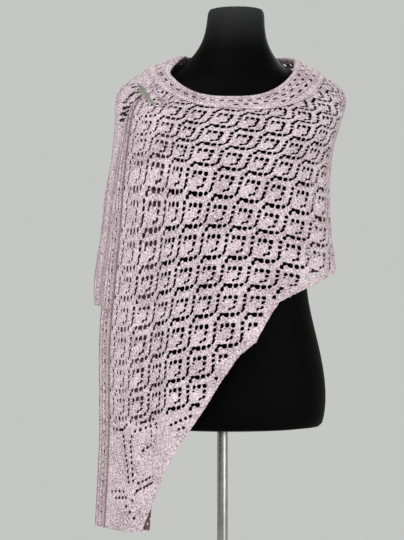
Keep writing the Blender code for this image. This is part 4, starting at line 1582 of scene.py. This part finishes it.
@dataclass
class DressForm:
    """The limbless form, drawn up from its pole socket section by section."""

    sides: int = 64
    bore_radius: float = 0.0099
    bore_depth: float = 0.0603
    sections: tuple[Section, ...] = (
        Section(0.850, 0.1560, 0.098, 0.112, 0.015),
        Section(0.857, 0.1610, 0.102, 0.117, 0.015),
        Section(0.880, 0.1665, 0.105, 0.120, 0.015),
        Section(0.915, 0.1680, 0.105, 0.121, 0.015),
        Section(0.955, 0.1635, 0.103, 0.118, 0.015),
        Section(1.000, 0.1540, 0.098, 0.110, 0.015),
        Section(1.049, 0.1410, 0.092, 0.098, 0.015),
        Section(1.096, 0.1325, 0.089, 0.088, 0.015),
        Section(1.140, 0.1300, 0.091, 0.085, 0.016),
        Section(1.190, 0.1320, 0.103, 0.088, 0.016),
        Section(1.235, 0.1360, 0.117, 0.092, 0.016),
        Section(1.270, 0.1400, 0.121, 0.095, 0.016),
        Section(1.305, 0.1450, 0.114, 0.097, 0.016),
        Section(1.345, 0.1560, 0.098, 0.097, 0.016),
        Section(1.380, 0.1700, 0.085, 0.091, 0.016),
        Section(1.410, 0.1790, 0.077, 0.082, 0.016),
        Section(1.432, 0.1740, 0.072, 0.073, 0.016),
        Section(1.446, 0.1600, 0.0705, 0.066, 0.017),
        Section(1.459, 0.1372, 0.0686, 0.061, 0.017),
        Section(1.472, 0.1120, 0.064, 0.058, 0.018),
        Section(1.484, 0.0900, 0.059, 0.056, 0.018),
        Section(1.500, 0.0740, 0.056, 0.054, 0.019),
        Section(1.518, 0.0620, 0.053, 0.053, 0.021),
        Section(1.536, 0.0550, 0.051, 0.052, 0.022),
        Section(1.556, 0.0510, 0.050, 0.051, 0.023),
        Section(1.582, 0.0500, 0.050, 0.050, 0.024),
        Section(1.588, 0.0460, 0.046, 0.046, 0.024),
    )

    def levels(self) -> Iterable[tuple[float, float, float, float, float]]:
        """Centre, height, half width and half depth of each loop, from the bore to the neck."""
        bore_top = self.sections[0].height + self.bore_depth
        yield 0.0, 0.0, bore_top, self.bore_radius, self.bore_radius
        yield 0.0, 0.0, self.sections[0].height + 0.001, self.bore_radius, self.bore_radius
        yield 0.0, 0.0, self.sections[0].height, self.bore_radius + 0.001, self.bore_radius + 0.001
        for s in self.sections:
            yield s.shift, (s.back - s.front) / 2, s.height, s.half_width, (s.front + s.back) / 2

    def build(self, jersey: bpy.types.Material) -> bpy.types.Object:
        """Model the form.

        Args:
            jersey: its finish.

        Returns:
            The form.
        """
        levels = list(self.levels())
        x, y, z, wide, deep = levels[0]
        bpy.ops.mesh.primitive_circle_add(vertices=self.sides, radius=wide, location=(x, y, z))
        form = bpy.context.active_object
        form.name = "form_cover"
        settle(form)
        bpy.ops.object.mode_set(mode="EDIT")
        bpy.ops.mesh.select_all(action="SELECT")
        for place in levels[1:]:
            step = (place[0] - x, place[1] - y, place[2] - z)
            bpy.ops.mesh.extrude_region_move(TRANSFORM_OT_translate={"value": step})
            size = (place[3] / wide, place[4] / deep, 1.0)
            bpy.ops.transform.resize(value=size, center_override=place[:3])
            x, y, z, wide, deep = place
        bpy.ops.mesh.select_all(action="SELECT")
        bpy.ops.mesh.fill_holes(sides=0)
        bpy.ops.object.mode_set(mode="OBJECT")
        smooth = form.modifiers.new("Smooth", "SUBSURF")
        smooth.levels = smooth.render_levels = 1
        finish_piece(form)
        bpy.ops.object.shade_smooth_by_angle(angle=math.radians(35))
        form.data.materials.append(jersey)
        return form


@dataclass
class Stand:
    """The steel stand: a round plate, a socket and a pole."""

    base_radius: float = 0.155
    base_thick: float = 0.008
    socket_radius: float = 0.017
    socket_height: float = 0.045
    pole_radius: float = 0.0095
    pole_top: float = 0.9097
    gap: float = 0.0003

    def round_bar(self, name: str, radius: float, bottom: float, top: float,
                  bevel: float) -> bpy.types.Object:
        """An upright cylinder with softened edges.

        Args:
            name: its name.
            radius: its radius.
            bottom: height of its foot.
            top: height of its top.
            bevel: width of its rounded rims.

        Returns:
            The bar.
        """
        for other in bpy.context.selected_objects:
            other.select_set(False)
        place = (0.0, 0.0, (top + bottom) / 2)
        bpy.ops.mesh.primitive_cylinder_add(vertices=96, radius=radius, depth=top - bottom, location=place)
        bar = bpy.context.active_object
        bar.name = name
        settle(bar)
        edge = bar.modifiers.new("Soft edge", "BEVEL")
        edge.width = bevel
        edge.segments = 3
        edge.limit_method = "ANGLE"
        finish_piece(bar)
        bpy.ops.object.shade_smooth_by_angle(angle=math.radians(35))
        return bar

    def build(self, steel: bpy.types.Material) -> list[tuple[bpy.types.Object, str]]:
        """Model the stand.

        Args:
            steel: its finish.

        Returns:
            Each piece with the node that it replaces.
        """
        foot = self.base_thick + self.gap
        top = foot + self.socket_height
        parts = [
            (self.round_bar("base_plate", self.base_radius, 0.0, self.base_thick, 0.0015), "stand_base"),
            (self.round_bar("pole_socket", self.socket_radius, foot, top, 0.002), "stand_socket"),
            (self.round_bar("pole", self.pole_radius, top + self.gap, self.pole_top, 0.001), "stand_pole"),
        ]
        for bar, _ in parts:
            bar.data.materials.append(steel)
        return parts


@dataclass
class Studio:
    """Camera, floor and soft light."""

    centre: tuple[float, float, float] = (-0.036, 0.0, 1.128)
    distance: float = 3.0
    frame_height: float = 0.950
    sensor: float = 24.0

    def add_camera(self) -> None:
        """A level camera in front, framed as tall as the photograph shows."""
        data = bpy.data.cameras.new("camera")
        data.sensor_fit = "VERTICAL"
        data.sensor_height = self.sensor
        data.lens = self.sensor * self.distance / self.frame_height
        camera = bpy.data.objects.new("camera", data)
        x, y, z = self.centre
        camera.location = (x, y - self.distance, z)
        camera.rotation_euler = (math.pi / 2, 0.0, 0.0)
        bpy.context.scene.collection.objects.link(camera)
        bpy.context.scene.camera = camera

    def add_light(self, name: str, place: tuple[float, float, float], size: float, watts: float) -> None:
        """A square soft light that looks at the object's middle.

        Args:
            name: its name.
            place: where it stands.
            size: its width.
            watts: its power.
        """
        data = bpy.data.lights.new(name, "AREA")
        data.size = size
        data.energy = watts
        light = bpy.data.objects.new(name, data)
        light.location = place
        aim = Vector((0.0, 0.0, 1.1)) - Vector(place)
        light.rotation_euler = aim.to_track_quat("-Z", "Y").to_euler()
        bpy.context.scene.collection.objects.link(light)

    def build(self) -> None:
        """Set up the studio."""
        self.add_camera()
        self.add_light("key", (-1.4, -2.8, 2.6), 1.8, 62.0)
        self.add_light("fill", (2.2, -2.2, 1.6), 2.2, 34.0)
        self.add_light("rim", (0.5, 2.2, 2.7), 1.8, 40.0)
        bpy.ops.mesh.primitive_plane_add(size=6.0, location=(0.0, 0.0, 0.0))
        floor = bpy.context.active_object
        floor.name = "floor"
        floor.data.materials.append(PlainFinish("floor_paper", (0.72, 0.72, 0.70)).material())
        world = bpy.data.worlds.new("studio")
        world.use_nodes = True
        world.node_tree.nodes["Background"].inputs[0].default_value = (0.66, 0.67, 0.65, 1.0)
        world.node_tree.nodes["Background"].inputs[1].default_value = 0.85
        bpy.context.scene.world = world
        bpy.context.scene.view_settings.view_transform = "Standard"


def mount(piece: bpy.types.Object, node: str) -> None:
    """Fix a piece to the part in place of a node, and report it.

    Args:
        piece: the piece.
        node: the node that it replaces.
    """
    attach(piece, "root")
    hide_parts(node)
    count = sum(len(face.vertices) - 2 for face in piece.data.polygons)
    area = sum(face.area for face in piece.data.polygons)
    log.info("%s: %d triangles, %.4f m2", piece.name, count, area)


def main() -> None:
    """Build and dress every piece in order."""
    logging.basicConfig(level=logging.INFO, format="%(name)s: %(message)s")
    drape = Drape()
    shawl = Shawl(drape, LacePlan(drape), LeafChart(), WoolFinish().material())
    for piece, node in shawl.build():
        mount(piece, node)
    # The pin's grey is its metal; its green tint is a painted reflection of green surroundings
    silver = MetalFinish("pin_silver", (0.74, 0.76, 0.68), (0.22, 0.24, 0.18), 0.20,
                         (240.0, 240.0, 240.0), 0.0003)
    mount(ShawlPin(drape).build(silver.material()), "shawl_pin")
    mount(DressForm().build(JerseyFinish().material()), "form_torso")
    steel = MetalFinish("drawn_steel", (0.58, 0.56, 0.53), (0.10, 0.095, 0.09), 0.20,
                        (150.0, 150.0, 0.5), 0.00005)
    for piece, node in Stand().build(steel.material()):
        mount(piece, node)
    Studio().build()


if __name__ == "__main__":
    main()
